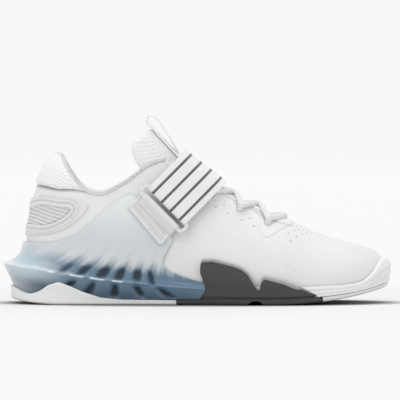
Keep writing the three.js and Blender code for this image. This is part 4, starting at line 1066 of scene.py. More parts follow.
def build_counter():
    counter = outline_mm(COUNTER, 4)
    window = outline_mm(WINDOW, 4)
    us = np.linspace(-0.30, 0.30, 330)
    ts = np.linspace(0.2, 0.98, 150)

    def height(p, uu, tt):
        inside = depth_inside(p[..., 0], p[..., 2], counter)
        hole = depth_inside(p[..., 0], p[..., 2], window)
        edge = np.minimum(inside, -hole)
        ripple = ring_steps(-hole) * smooth(0.4, 1.6, edge)
        return -0.5 + (2.1 + ripple) * smooth(-0.55, 0.75, edge), edge

    def marks(p, uu, tt):
        hole = depth_inside(p[..., 0], p[..., 2], window)
        # Painted shade in the ring's grooves, following their depth
        return {"groove": np.clip(-ring_steps(-hole) / 0.5, 0, 1)}

    patch("heel_counter_ring", us, ts, height, film, ["heel_counter"], 1.0, -1.0, marks)

    def sunk(p, uu, tt):
        inside = depth_inside(p[..., 0], p[..., 2], window)
        return 0.85 - 0.35 * smooth(0.0, 4.0, inside), inside

    us = np.linspace(-0.24, 0.24, 200)
    patch(
        "heel_window_mesh", us, np.linspace(0.3, 0.85, 80), sunk, mesh_cloth, ["heel_window"], 0.5, -0.5
    )


def build_heel_pad():
    knit_edge = outline_mm(KNIT, 4)
    us = np.linspace(-0.36, 0.36, 330)
    ts = np.linspace(0.4, 1.0, 110)

    def height(p, uu, tt):
        inside = depth_inside(p[..., 0], p[..., 2], knit_edge)
        rim = (1 - tt) * 62.0
        edge = np.minimum(inside, rim + 1.2)
        puff = 2.4 * smooth(-0.8, 2.2, edge) ** 0.6 + 0.5 * smooth(2, 9, edge)
        knitted = 0.16 * np.sin(p[..., 0] * 2.1 + p[..., 2] * 2.1) * np.sin(p[..., 0] * 2.1 - p[..., 2] * 2.1)
        return -0.5 + puff + knitted * smooth(0.5, 2.0, edge), inside

    piece = patch("heel_pad_knit", us, ts, height, knit, ["heel_pad"], 1.2, -0.9)


def build_lining():
    end = 6.7 / LAST
    us = np.linspace(-end, end, 900)
    side = OUT
    rim = face(us, side, np.ones_like(us))
    n = outward(us, side, np.ones_like(us))
    climb = unit(rim - face(us, side, np.full_like(us, 0.97)))
    depth = LINING_DEPTH * (1 - 0.55 * smooth(0.3, end, np.abs(us)))
    foot = ribs(us, side)[:, 0]
    low = np.maximum(1 - depth / np.linalg.norm(foot - rim, axis=1), 0.4)

    def hang(t, off):
        return raised(us, side, t, np.full_like(us, -WALL - off))

    def over(off, rise):
        return rim + n * off + climb * rise

    edge = GAP
    stations = [
        hang(low, edge),
        hang(mix(low, 1, 0.5), edge),
        over(-WALL - edge, edge),
        over(0.55, edge - 0.8),
        over(1.5, edge + 0.6),
        over(0.8, edge + 2.3),
        over(-0.9, COLLAR_ROLL),
        over(-WALL - PAD * 0.3, COLLAR_ROLL + 0.1),
        over(-WALL - PAD * 0.62, COLLAR_ROLL - 0.5),
        over(-WALL - PAD * 0.9, 1.2),
        over(-WALL - PAD, 0),
        hang(mix(low, 1, 0.8), PAD + 0.5),
        hang(mix(low, 1, 0.6), PAD + 0.7),
        hang(mix(low, 1, 0.3), PAD + 0.2),
        hang(low + 0.03, PAD * 0.7),
        hang(low, edge + 0.9),
    ]
    control = np.stack(stations, axis=1)
    k = control.shape[1]
    fine = []
    for i in range(k):
        a, b, c, d = [control[:, (i + s) % k] for s in (-1, 0, 1, 2)]
        steps = 5 if 2 <= i <= 11 else 2
        for f in np.arange(steps) / steps:
            fine.append(curve_through(a, b, c, d, f))
    ring = np.stack(fine, axis=1)
    lay = lay_of(ring)
    run = lay[..., 0]
    roll = np.zeros(ring.shape[:2])
    roll[:, 8:30] = 1
    lean = np.arange(ring.shape[1])[None, :] * 0.35
    plait = 0.17 * np.sin(run * 2 * math.pi / 1.8 + lean) * roll
    ring = ring + n[:, None] * plait[..., None]
    faces = tube_faces(*ring.shape[:2])
    rolled = np.zeros(ring.shape[:2])
    rolled[:, 6:26] = 1
    piece = make_piece("collar_padding", ring, faces, knit, ["collar_lining"], lay, {"roll": rolled})


def front_shift(z):
    """How far the seam between cup and fin stands forward at each height."""
    return 3.0 * smooth(5.0, 11, z) * (1 - smooth(13, 24, z)) - 2.0 * smooth(16, 28, z)


def frame_off(share, z, wall):
    ridge = up(read(RIDGE, 1, share, 0.01))
    flare = read(RIDGE, 2, share, 0.01) * BALL_WIDTH
    base = read(RIDGE, 3, share, 0.01) * BALL_WIDTH
    low = mix(base, flare, np.clip((z - OUTSOLE) / (ridge - OUTSOLE), 0, 1) ** 1.2)
    fade = up(read(RIDGE, 4, share, 0.01))
    high = wall + (flare - wall) * np.exp(np.minimum((ridge - z) / fade, 0))
    return np.where(z <= ridge, low, high)


def build_heel_frame(sizes):
    count = len(RAYS)
    k = np.linspace(0, count - 1, 260)
    spline = []
    for col in range(4):
        v = RAYS[:, col]
        v = np.concatenate([[2 * v[0] - v[1]], v, [2 * v[-1] - v[-2]]])
        i = np.minimum(k.astype(int), count - 2)
        f = k - i
        a, b, c, d = v[i], v[i + 1], v[i + 2], v[i + 3]
        spline.append(curve_through(a, b, c, d, f))
    foot_at, top_at, top_out, top_in = spline
    halves = []
    for side, top_up in ((IN, top_in), (OUT, top_out)):
        u = share_along(along(foot_at))
        u = np.where(foot_at <= 0.0602, 0.0, u)
        top_z = up(top_up)
        top_u = place_at(side, along(top_at), top_z)[0]
        top_u = top_u * smooth(0.06, 0.075, foot_at)
        ridge_z = up(read(RIDGE, 1, foot_at, 0.01))
        wall = mix(CUP_WALL, WING_WALL, smooth(0.06, 0.25, foot_at)) + GAP
        low = np.linspace(0, 1, 14)[None, :]
        high = np.linspace(0, 1, 56)[None, 1:]
        z = np.concatenate(
            [
                mix(OUTSOLE + GAP, ridge_z[:, None], low),
                mix(ridge_z[:, None], top_z[:, None], high**1.35),
            ],
            axis=1,
        )
        f = np.clip((z - ridge_z[:, None]) / (top_z - ridge_z)[:, None], 0, 1)
        uz = mix(u[:, None], top_u[:, None], f)
        share = np.repeat(foot_at[:, None], z.shape[1], axis=1)
        off = frame_off(share, z, wall[:, None])
        outer = beside(uz, side, z, off)
        floor = above_ground(u, side, OUTSOLE + GAP, off[:, 0])
        outer[:, 0] = floor
        outer[:, 1:14, 2] = np.maximum(outer[:, 1:14, 2], floor[:, None, 2] + 0.05)
        x, zz = outer[..., 0], outer[..., 2]
        inside_slot = np.full(x.shape, -9.0)
        for corners in SLOTS:
            inside_slot = np.maximum(inside_slot, depth_inside(x, zz, outline_mm(corners, 4)))
        pocket, core = smooth(-2.3, 1.8, inside_slot), smooth(-1.5, 2.4, inside_slot)
        above = zz - ridge_z[:, None]
        spread = np.degrees(np.arctan2(FAN_CENTRE[1] - zz, FAN_CENTRE[0] - x))
        phase = np.interp(spread, FAN_ANGLES, np.arange(len(FAN_ANGLES)))
        wide, fine = -np.cos(2 * math.pi * phase), np.sin(2 * math.pi * phase * 2.6 + 1.1)
        fan = (0.7 * wide + 0.3 * fine) * smooth(4.0, 13.0, above) * (1 - smooth(20, 38, above))
        n = outward(uz, side, np.where(zz > ribs(uz, side)[..., 0, 2], share_at(uz, side, zz), 0))
        flat = unit(n * [1, 1, 0])
        sink = (
            sizes.slot_depth * 1000 * pocket
            + 0.3 * (1 - fan) * smooth(1.0, 8.0, above) * (1 - smooth(18, 34, above))
        )
        outer = outer - flat * sink[..., None]
        forward = smooth(-40, 2, x)
        blue = (1 - smooth(5.5, 18.0, above + 2.6 * fan)) * forward
        heel = (1 - forward) * (1 - smooth(4.0, 20.0, np.abs(above - 3))) * smooth(-56, -44, x)
        top = smooth(28, 66, above)
        low_mark = smooth(2.0, 13.0, -above) * mix(0.45, 1.0, smooth(-50, -20, x))
        glint = bell(above - 0.3, 0.45)
        sheen = 0.42 * bell(above - 0.6, 1.5) * (1 - smooth(-22, 12, x))
        dash = 0.0
        for start, stop in ((-20, -15), (-3, 8), (13, 24), (30, 38)):
            dash = dash + smooth(start - 1, start + 1, x) * (1 - smooth(stop - 1, stop + 1, x))
        glint = np.maximum(glint * dash * 0.95, sheen)
        marks = {
            # The pocket mark paints shade in the slots
            "pocket": 0.35 * pocket + 0.65 * core,
            "ray": fan,
            "blue": blue,
            "low": low_mark,
            "glint": glint,
            "top": top,
            "heel": heel,
        }
        hold = raised(
            uz[:, 13:],
            side,
            np.maximum(share_at(uz[:, 13:], side, z[:, 13:]), 0.0),
            np.full(z[:, 13:].shape, GAP),
        )
        inner = hold[:, ::-1]
        sole_line = inner[:, -1:].copy()
        sole_line[..., 2] = floor[:, None, 2]
        ring = np.concatenate([outer, inner, sole_line], axis=1)
        extra = ring.shape[1] - outer.shape[1]
        marks = {
            key: np.concatenate([value, np.zeros((len(k), extra))], axis=1) for key, value in marks.items()
        }
        ring[..., 0] = np.minimum(ring[..., 0], along(FRAME_FRONT))
        ring[..., 0] += front_shift(ring[..., 2]) * smooth(along(0.475), along(FRAME_FRONT), ring[..., 0])
        if side == IN:
            ring = ring[::-1]
            marks = {key: value[::-1] for key, value in marks.items()}
        else:
            ring = ring[1:]
            marks = {key: value[1:] for key, value in marks.items()}
        halves.append((ring, marks))
    ring = np.concatenate([h[0] for h in halves])
    marks = {key: np.concatenate([h[1][key] for h in halves]) for key in halves[0][1]}
    faces = tube_faces(*ring.shape[:2])
    lay = lay_of(ring)
    piece = make_piece(
        "heel_cup", ring, faces, clear_cup, ["heel_frame"], lay, marks, merge=0.0002
    )
    sharpen(piece, 50)


def lug_depth(x, y):
    """How deep the tread is cut at each place of its underside."""
    deep = np.zeros(np.shape(x))
    for at, width, depth, lean in GROOVES:
        across = (x - along(at)) * math.cos(lean) + y * math.sin(lean)
        deep = np.maximum(deep, depth * (1 - smooth(width / 2 - 0.35, width / 2 + 0.35, np.abs(across))))
    for lane in (-16.0, 16.0):
        wander = lane + 3.0 * np.sin(x * 0.05)
        deep = np.maximum(deep, 0.7 * (1 - smooth(0.5, 1.1, np.abs(y - wander))))
    fine = 0.22 * (0.5 + 0.5 * np.sin((x + 0.35 * np.abs(y)) * 2 * math.pi / 3.4))
    return np.maximum(deep, fine)


def sole_loft(name, us, outer, inner, material, replaces, marks=None, recess=False, cut_share=1.0):
    """A sole piece from side profiles: outer runs up from the floor, inner down to the bed."""
    sides = {side: (outer(us, side), inner(us, side)) for side in (OUT, IN)}
    o_out, o_in = sides[OUT]
    i_out, i_in = sides[IN]
    cols = 44
    f = np.linspace(0, 1, cols + 2)[1:-1][None, :, None]
    floor = i_out[:, :1] + (o_out[:, :1] - i_out[:, :1]) * f
    cut = lug_depth(floor[..., 0], floor[..., 1])
    floor[..., 2] += cut_share * cut
    ring = np.concatenate([o_out, o_in, i_in[:, ::-1], i_out[:, ::-1], floor], axis=1)
    # The tread mark: painted shade in the grooves cut in the underside, and in the arch recess below
    tread = np.zeros(ring.shape[:2])
    tread[:, -cols:] = smooth(0.2, 1.0, cut)
    values = {"tread": tread}
    k, m = o_out.shape[1], o_in.shape[1]
    for key, value in (marks(us, sides) if marks else {}).items():
        whole = np.zeros(ring.shape[:2])
        whole[:, :k] = value[OUT]
        whole[:, k + 2 * m : 2 * k + 2 * m] = value[IN][:, ::-1]
        values[key] = whole
    if recess:
        arch = closed_curve([[along(a), up(b)] for a, b in FLEX_RECESS], 4)
        across_arch = np.linspace(along(0.6305), along(0.6695), len(ARCH_RISE))
        for column in range(ring.shape[1]):
            p = ring[:, column]
            over = depth_inside(p[:, 0], p[:, 2], arch)
            lift = np.interp(p[:, 0], across_arch, ARCH_RISE, 0, 0)
            ring[:, column, 2] = np.where(p[:, 2] < lift, lift, p[:, 2])
            # Painted shade inside the arch recess
            recess_shade = ((over > -0.2) | (p[:, 2] < lift + 0.05)) & (lift > 0.1)
            tread[:, column] = np.where(recess_shade, np.maximum(tread[:, column], 1.0), tread[:, column])
    sharpen(
        make_piece(name, ring, tube_faces(*ring.shape[:2]), material, replaces, lay_of(ring), values), 45
    )


def sole_us(first, last, step, extra=()):
    shares = np.concatenate([np.arange(first, last, step / LENGTH), [last], np.asarray(extra, float)])
    shares = np.unique(np.round(shares[(shares >= first) & (shares <= last)], 5))
    us = share_along(along(shares))
    if first <= 0.06:
        us[0] = 0.0
    if last >= 0.976:
        us[-1] = 1.0
    return us


def build_heel_outsole():
    def profile(us, side):
        share = share_of(us)
        floor = above_ground(us, side, 0.0, read(RIDGE, 3, share, 0.01) * BALL_WIDTH)
        top = np.maximum(up(read(WAVE, 1, share, 0.006)), floor[:, 2] + 3.4)
        spread = read(WAVE, 2, share, 0.006) * BALL_WIDTH
        skirt = GAP + SKIRT * smooth(floor[:, 2] + 3, floor[:, 2] + 5, top)

        def off(z):
            return frame_off(share, z, WING_WALL) + skirt + spread * (1 - smooth(0, 11, z - floor[:, 2]))

        return share, floor, top, off

    def outer(us, side):
        _, floor, top, off = profile(us, side)
        zero = off(np.zeros_like(us))
        rows = [above_ground(us, side, z, zero - back) for z, back in ((0.0, 1.4), (0.35, 0.5), (1.2, 0.0))]
        for f in np.linspace(0.08, 0.93, 12):
            z = mix(floor[:, 2] + 1.2, top, f)
            rows.append(beside(us, side, z, off(z)))
        rows.append(beside(us, side, top - 0.05, off(top) - 0.35))
        rows.append(beside(us, side, top, off(top) - 0.9))
        return np.stack(rows, axis=1)

    def inner(us, side):
        share, _, top, _ = profile(us, side)
        hold = frame_off(share, top, WING_WALL) - 0.4
        bed = OUTSOLE - 0.1
        rows = [
            beside(us, side, top - 0.3, hold),
            above_ground(us, side, bed, hold - 2.0),
            above_ground(us, side, bed, -1.0),
        ]
        return np.stack(rows, axis=1)

    us = sole_us(0.06, 0.4505, 0.9)
    sole_loft("heel_tread", us, outer, inner, white_rubber, ["heel_outsole"])


def build_forefoot_outsole():
    base = 0.052 * BALL_WIDTH

    def top_of(us):
        share = share_of(us)
        return np.maximum(up(read(FINS, 1, share, 0.0022)), ground(ribs(us, OUT)[:, 0, 0]) + 2.2)

    def off(z):
        return mix(base, FIN_WALL + GAP, smooth(6, 34, z))

    def outer(us, side):
        top = top_of(us)
        rows = [above_ground(us, side, z, base - back) for z, back in ((0.0, 1.6), (0.4, 0.8), (1.2, 0.4))]
        start = rows[-1][:, 2]
        for f in np.linspace(0.05, 0.97, 26):
            z = mix(start, top, f)
            shape = off(z)
            rim = -0.55 * smooth(2.6, 1.2, top - z) * smooth(8, 14, top)
            belt = -0.7 * bell(z - ground(ribs(us, OUT)[:, 0, 0]) - 4.8, 0.9)
            rows.append(beside(us, side, z, shape + rim + belt))
        rows.append(beside(us, side, top - 0.1, off(top) - 0.75))
        rows.append(beside(us, side, top, off(top) - 1.2))
        shape = np.stack(rows, axis=1)
        near = 1 - smooth(0.5165, 0.545, (shape[..., 0] + HEEL_TO_ORIGIN) / LENGTH)
        shape[..., 0] += front_shift(shape[..., 2]) * near
        return shape

    def inner(us, side):
        top = top_of(us)
        bed = ground(ribs(us, OUT)[:, 0, 0]) + OUTSOLE
        low = np.minimum(bed, top)
        levels = ((top, 0.45), (np.maximum(mix(bed, top, 0.5), low), 0.4), (low, 0.2), (low, -4.0))
        return np.stack([beside(us, side, z, off) for z, off in levels], axis=1)

    def marks(us, sides):
        rim_highlight, belt = {}, {}
        top = top_of(us)[:, None]
        soil = ground(ribs(us, OUT)[:, 0, 0])[:, None]
        for side in (OUT, IN):
            z = sides[side][0][..., 2]
            # Painted highlight on the fin's top edge
            rim_highlight[side] = smooth(1.9, 1.2, top - z) * smooth(8, 14, top)
            # Painted shade in the belt groove and under the rim's step
            line = bell(top - z - 2.5, 0.5) * smooth(8, 14, top) * 0.6
            belt[side] = np.maximum(bell(z - soil - 4.8, 1.0), line)
        return {"rim": rim_highlight, "belt": belt}

    us = sole_us(
        0.4515, 0.8165, 0.8, [row[0] for row in FINS] + [0.514, 0.5145, 0.515, 0.5155, 0.516, 0.6635]
    )
    replaces = ["forefoot_outsole"]
    sole_loft("forefoot_tread", us, outer, inner, dark_rubber, replaces, marks, recess=True)


def build_midsole():
    def column(us, index):
        return read(MIDSOLE, index, share_of(us), 0.004)

    def outer(us, side):
        share = share_of(us)
        top = up(column(us, 1))
        top_off, base_off = column(us, 2) * BALL_WIDTH, column(us, 3) * BALL_WIDTH
        lowest = above_ground(us, side, tread_at(share) + GAP, base_off - 0.8)
        rows = [lowest]
        for f in np.linspace(0.04, 0.985, 30):
            out = np.interp(f, [0, 0.15, 0.45, 0.52, 0.76, 0.83, 1], [1, 1, 1, 0.75, 0.6, 0.3, 0])
            z = mix(lowest[:, 2], top, f)
            groove = 0.0
            for at in (0.2, 0.34, 0.62):
                groove = groove - 0.32 * bell(f - at, 0.028)
            reach = mix(top_off, base_off, out) + groove * smooth(0.74, 0.8, share)
            reach = reach - 0.5 * smooth(0.93, 1.0, f)
            rows.append(beside(us, side, z, reach))
        rows.append(beside(us, side, top, top_off - 1.1))
        return np.stack(rows, axis=1)

    def inner(us, side):
        share = share_of(us)
        top = up(column(us, 1))
        bed = above_ground(us, side, tread_at(share) + GAP, 0.0)
        rows = [beside(us, side, top, 0.35), beside(us, side, mix(bed[:, 2], top, 0.4), 0.3), bed]
        return np.stack(rows, axis=1)

    us = sole_us(FRAME_FRONT + 0.002, 0.976, 0.9)
    o_out, o_in = outer(us, OUT), inner(us, OUT)
    i_out, i_in = outer(us, IN), inner(us, IN)
    ring = np.concatenate([o_out, o_in, i_in[:, ::-1], i_out[:, ::-1]], axis=1)
    k = o_out.shape[1]
    tread = np.zeros(ring.shape[:2])
    # Painted shade in the foam's groove near the toe
    band = bell(np.linspace(0, 1, k) - 0.62, 0.04) * 0.5
    ahead = smooth(0.74, 0.8, share_of(us))[:, None]
    tread[:, :k] = band * ahead
    tread[:, -k:] = band[::-1] * ahead
    faces, lay = tube_faces(*ring.shape[:2]), lay_of(ring)
    foam = make_piece(
        "forefoot_foam", ring, faces, white_rubber, ["forefoot_midsole"], lay, {"tread": tread}
    )
    sharpen(foam, 45)


def build_toe_outsole():
    def base_of(us):
        return read(MIDSOLE, 3, share_of(us), 0.004) * BALL_WIDTH

    def outer(us, side):
        share, base = share_of(us), base_of(us)
        thick = tread_at(share)
        rows = [above_ground(us, side, 0.0, base - 2.6), above_ground(us, side, 0.5, base - 1.6)]
        for f in np.linspace(0.35, 1, 6):
            rows.append(above_ground(us, side, thick * f, base - 1.0))
        return np.stack(rows, axis=1)

    def inner(us, side):
        return above_ground(us, side, tread_at(share_of(us)), -2.0)[:, None]

    us = sole_us(0.8175, 0.976, 0.8)
    sole_loft("toe_tread", us, outer, inner, white_rubber, ["toe_outsole"], cut_share=0.8)


def build_eyestays():
    stay = outline_mm(STAY, 4)
    for side, node in ((OUT, "eyestay_outer"), (IN, "eyestay_inner")):
        us = np.linspace(0.44, 0.757, 200) * (1 if side == OUT else -1)
        ts = np.linspace(0.3, 1.0, 110)

        def height(p, uu, tt):
            inside = depth_inside(p[..., 0], p[..., 2], stay)
            rim = (1 - tt) * 55.0
            edge = np.where(np.abs(uu) < THROAT_END, np.minimum(inside, rim + 0.6), inside)
            seam = seam_groove(np.abs(inside) - 2.2, 0.35, 0.22)
            seam = seam + seam_groove(
                distance_to_line(p[..., 0], p[..., 2], open_curve(THROAT_SEAM, 3.0)), 0.6, 0.45
            )
            hole = np.full(inside.shape, 9.0)
            for at, rise in EYELETS:
                hole = np.minimum(hole, np.hypot(p[..., 0] - along(at), p[..., 2] - up(rise)))
            punch = -0.9 * (1 - smooth(2.0, 2.6, hole)) + 0.25 * bell(hole - 3.3, 0.5)
            return -0.5 + 1.55 * smooth(-1.0, 1.0, edge) + seam + punch, edge

        patch(f"{node}_layer", us, ts, height, leather, [node], 0.6, -0.9)


def build_tongue():
    rows = np.array(TONGUE_PATH)
    k = np.linspace(0, len(rows) - 1, 200)
    beyond = np.vstack([2 * rows[0] - rows[1], rows, 2 * rows[-1] - rows[-2]])
    i = np.minimum(k.astype(int), len(rows) - 2)
    f = (k - i)[:, None]
    a, b, c, d = [beyond[i + step] for step in range(4)]
    smooth_rows = curve_through(a, b, c, d, f)
    at, rise, half_width, drop, lean, thick = smooth_rows.T
    x, z = along(at), up(rise)
    v = np.linspace(-1, 1, 72)
    turn = v * 1.35
    bow = (1 - np.cos(turn)) / (1 - math.cos(1.35))
    down = np.stack([-np.sin(lean), np.zeros_like(lean), -np.cos(lean)], axis=1)

    def layer(deep):
        width = half_width[:, None] * BALL_WIDTH - deep * np.abs(np.sin(turn * 0.8))
        p = np.zeros((len(k), len(v), 3))
        p[..., 0] = x[:, None]
        p[..., 1] = width * np.sin(turn) / math.sin(1.35)
        p[..., 2] = z[:, None]
        return p + down[:, None] * (drop[:, None] * BALL_WIDTH * bow + deep * np.cos(turn * 0.8))[..., None]

    edge = thick[:, None] * BALL_WIDTH * (1 - 0.55 * v[None] ** 4)
    rounding = 0.32 * edge * smooth(0.86, 1.0, np.abs(v))[None] ** 2
    top, foot = layer(rounding), layer(edge - rounding)
    lay = lay_of(top)
    run = lay[..., 0]
    fan = np.sin((run * 0.9 + 7.0 * np.abs(v)[None] ** 2) * 2 * math.pi / 3.1)
    shown = smooth(2, 6, run) * (1 - smooth(30, 40, run))
    ribs_up = (
        0.22
        * fan
        * smooth(0.35, 0.6, np.abs(v))[None]
        * shown
        * (1 - smooth(0.93, 1.0, np.abs(v)))[None]
    )
    channel = -0.8 * bell(np.abs(v)[None] - 0.34, 0.035) * shown
    relief = (ribs_up + channel)[..., None]
    normal_way = unit(np.cross(np.gradient(top, axis=0), np.gradient(top, axis=1)))
    normal_way *= np.where(normal_way[..., 2:] < 0, -1, 1)
    top = top + normal_way * relief
    points, faces = closed_grid(top, foot)
    lays = np.concatenate([lay.reshape(-1, 3), lay_of(foot).reshape(-1, 3)])
    piece = make_piece("tongue_padding", points, faces, knit, ["tongue"], lays)


def build_pull_loop():
    """A woven tape round the loop, with its edges rounded."""
    centre = closed_curve([[along(a), 0.0, up(b)] for a, b in LOOP_PATH], 30)
    sideways = np.array([0.0, 1.0, 0.0])
    out = unit(np.cross(np.roll(centre, -1, axis=0) - np.roll(centre, 1, axis=0), sideways))
    s = np.sin(np.linspace(-math.pi / 2, math.pi / 2, 22))
    across = s * LOOP_WIDTH / 2
    half = TAPE / 2 * np.sqrt(np.clip(1 - np.abs(s) ** 14, 0.02, 1))
    middle, rise = centre[:, None] + sideways * across[None, :, None], out[:, None] * half[None, :, None]
    ring = np.concatenate([middle + rise, (middle - rise)[:, ::-1]], axis=1)
    lay = lay_of(ring)
    lay[..., 1] = np.concatenate([across, across[::-1]])[None, :]
    faces = grid_faces(*ring.shape[:2], wrap_rows=True, wrap_cols=True)
    make_piece("pull_tape", ring, faces, tape, ["pull_loop"], lay)


def tube(name, path, radius, material, replaces, sides=14, flat=0.86):
    """A lace along a line of points, a little flatter than round."""
    ahead = unit(np.gradient(path, axis=0))
    side = unit(np.cross(ahead, [0.0, 0.0, 1.0]))
    for i in range(1, len(path)):
        carried = side[i - 1] - ahead[i] * (side[i - 1] @ ahead[i])
        side[i] = carried / max(np.linalg.norm(carried), 1e-9)
    lift = np.cross(side, ahead)
    a = np.linspace(0, 2 * math.pi, sides, endpoint=False)
    round_a, round_b = np.cos(a)[None, :, None], np.sin(a)[None, :, None]
    ring = path[:, None] + radius * (side[:, None] * round_a + flat * lift[:, None] * round_b)
    lay = np.zeros(ring.shape)
    lay[..., 0] = run_along(path)[:, None]
    lay[..., 1] = (a * radius)[None, :]
    make_piece(name, ring, tube_faces(len(path), sides), material, replaces, lay)


def lace_routes():
    """Each lace row from inside one eyelet, over the tongue, into the other."""
    places = {}
    for index, (at, rise) in enumerate(EYELETS):
        for side in (OUT, IN):
            u, t = place_at(side, along(at), up(rise))
            point = raised(u, side, t, np.float64(1.2))
            places[index, side] = (point, outward(u, side, t))
    routes = []
    for start, stop, hump in LACES:
        (a, na), (b, nb) = places[start, OUT], places[stop, IN]
        top = np.array([along(hump[0]), 0.4, up(hump[1])])

        def climb(point, n):
            inward = top - point
            inward = unit(inward - n * (inward @ n))
            steps = ((-4.0, 0.0), (-1.4, 0.0), (0.6, 0.0), (2.2, 0.6), (2.9, 3.6))
            return [point + n * out + inward * over for out, over in steps]

        routes.append(open_curve([*climb(a, na), top, *climb(b, nb)[::-1]], 1.0))
    return routes


def build_laces(sizes):
    for number, route in enumerate(lace_routes()):
        tube(f"lace_row_{number + 1}", route, sizes.lace_diameter * 500, cord, ["lace"])


# Strap: at each share across it, the tightest convex curve round what lies inside
TILT = math.radians(45)
STRAP_ACROSS = np.array([math.cos(TILT), 0, -math.sin(TILT)])
STRAP_UP = np.array([math.sin(TILT), 0, math.cos(TILT)])
STRAP_ORIGIN = np.array([RING_AT[0] * LENGTH - HEEL_TO_ORIGIN, 0, RING_AT[1] * COLLAR_HEIGHT])


def held_points():
    """What the strap lies on: the skin with its eyestay, the tongue, the laces and the heel frame."""
    uu, tt = np.meshgrid(np.linspace(-0.75, 0.75, 320), np.linspace(0, 1, 60), indexing="ij")
    clouds = [raised(uu, OUT, tt, np.full(uu.shape, 1.2)).reshape(-1, 3)]
    for name in ("tongue_padding", "heel_cup", *[f"lace_row_{k + 1}" for k in range(len(LACES))]):
        mesh = bpy.data.objects[name].data
        flat = np.empty(len(mesh.vertices) * 3)
        mesh.vertices.foreach_get("co", flat)
        clouds.append(flat.reshape(-1, 3) * 1000)
    return np.concatenate(clouds)


class Hoop:
    """The strap's course in its own plane, from directions round the foot."""

    def __init__(self):
        p = held_points() - STRAP_ORIGIN
        s = p @ STRAP_ACROSS / (STRAP_WIDTH / 2)
        h = p @ STRAP_UP
        keep = (np.abs(s) <= 1.06) & (h > -18)
        s, y, h = s[keep], p[keep, 1], h[keep]
        self.turns = np.linspace(-2.2, 2.2, 89)
        self.n = np.stack([-np.sin(self.turns), np.cos(self.turns)], axis=1)
        reach = self.n @ np.stack([y, h])
        back = np.where(s < -0.96, reach, -1e9).max(axis=1)
        front = np.where(s > 0.96, reach, -1e9).max(axis=1)
        slope = (front - back) / 2.12
        level = (reach - slope[:, None] * s[None]).max(axis=1)
        lift = STRAP_LIFT / 2 * np.maximum(0, np.cos(self.turns))
        slope, level = slope - lift, level + lift
        kernel = np.ones(11) / 11
        soft = [np.convolve(np.pad(v, 5, mode="edge"), kernel, mode="valid") for v in (slope, level)]
        self.slope = soft[0]
        self.level = np.maximum(soft[1] + 0.3, level + np.abs(slope - soft[0]))

    def at(self, turn, slice_, off, disc=None):
        way = np.stack([-np.sin(turn), np.cos(turn)], axis=-1)
        toward = way @ self.n.T
        reach = np.broadcast_to(self.level + self.slope * slice_ + off, toward.shape)
        if disc is not None:
            reach = np.maximum(reach, (self.n @ disc[0]) + disc[1])
        near = np.where(toward < 0.05, 1e9, reach / np.maximum(toward, 0.05)).min(axis=-1)
        return way * near[..., None]


def strap_course(hoop, slice_, thick):
    """The strap's two faces at one share across it, from the inner side round the ring and back."""
    near, far = 2 * GAP, 2 * GAP + thick
    low, high = 1.0, 2.0
    for _ in range(20):
        turn = (low + high) / 2
        if hoop.at(np.array(turn), slice_, far)[1] > BAR_RISE:
            low = turn
        else:
            high = turn
    end = low
    tangent = unit(hoop.at(np.array(end + 0.02), slice_, far) - hoop.at(np.array(end - 0.02), slice_, far))
    n = np.array([tangent[1], -tangent[0]])
    if n[0] > 0:
        n = -n
    bar = hoop.at(np.array(end), slice_, far) + n * (GAP + BAR + 0.1)
    turns = np.linspace(-1.4, 1.4, 110)

    def path(start, stop, off, disc=None):
        inside = turns[(turns > start) & (turns < stop)]
        return hoop.at(np.concatenate([[start], inside, [stop]]), slice_, off, disc)

    def fold(radius):
        a = np.linspace(0, math.pi, 16)[1:-1, None]
        return bar - n * radius * np.cos(a) + tangent * radius * np.sin(a)

    over = far + 0.35
    outer_end = math.atan2(-bar[0] - n[0] * 2, bar[1])

    def course(first, radius, last):
        """Over the instep, round the ring's bar and back."""
        back = path(-1.5, outer_end, last, (bar, radius))[::-1]
        return np.concatenate([path(-1.75, end, first), fold(radius), back])

    under, upper = course(near, BAR + GAP + thick, over + thick), course(far, BAR + GAP, over)
    return under, upper, bar, tangent


def soften(points, passes):
    for _ in range(passes):
        middle = (points[:-2] + 2 * points[1:-1] + points[2:]) / 4
        points = np.concatenate([points[:1], middle, points[-1:]])
    return points


def on_strap(flat, slice_):
    flat = np.asarray(flat)
    p = STRAP_ORIGIN + STRAP_ACROSS * (slice_ * STRAP_WIDTH / 2) + flat[..., 1:2] * STRAP_UP
    p[..., 1] = flat[..., 0]
    return p


def build_strap(sizes):
    hoop = Hoop()
    thick = sizes.strap_thickness * 1000
    slices = np.sin(np.linspace(-math.pi / 2, math.pi / 2, 34))
    mids, halves = [], []
    for slice_ in slices:
        under, upper, _, _ = strap_course(hoop, slice_, thick)
        under, upper = soften(even_rows(under, 330), 6), soften(even_rows(upper, 330), 6)
        mids.append((under + upper) / 2)
        halves.append(unit(upper - under) * thick / 2)
    round_edge = np.sqrt(np.clip(1 - np.abs(slices) ** 12, 0.03, 1))[None, :, None]
    mids, halves = np.stack(mids, axis=1), np.stack(halves, axis=1) * round_edge
    top, low = [on_strap(mids + half, slices[None, :, None]) for half in (halves, -halves)]
    centre = on_strap(mids[:, 17], 0.0)
    lay = np.zeros(top.shape)
    lay[..., 0] = run_along(centre)[:, None]
    lay[..., 1] = (slices * STRAP_WIDTH / 2)[None, :]
    points, faces = closed_grid(top, low)
    lays = np.concatenate([lay.reshape(-1, 3)] * 2)
    make_piece("instep_strap", points, faces, webbing, ["strap"], lays)
    build_ring(hoop, thick)


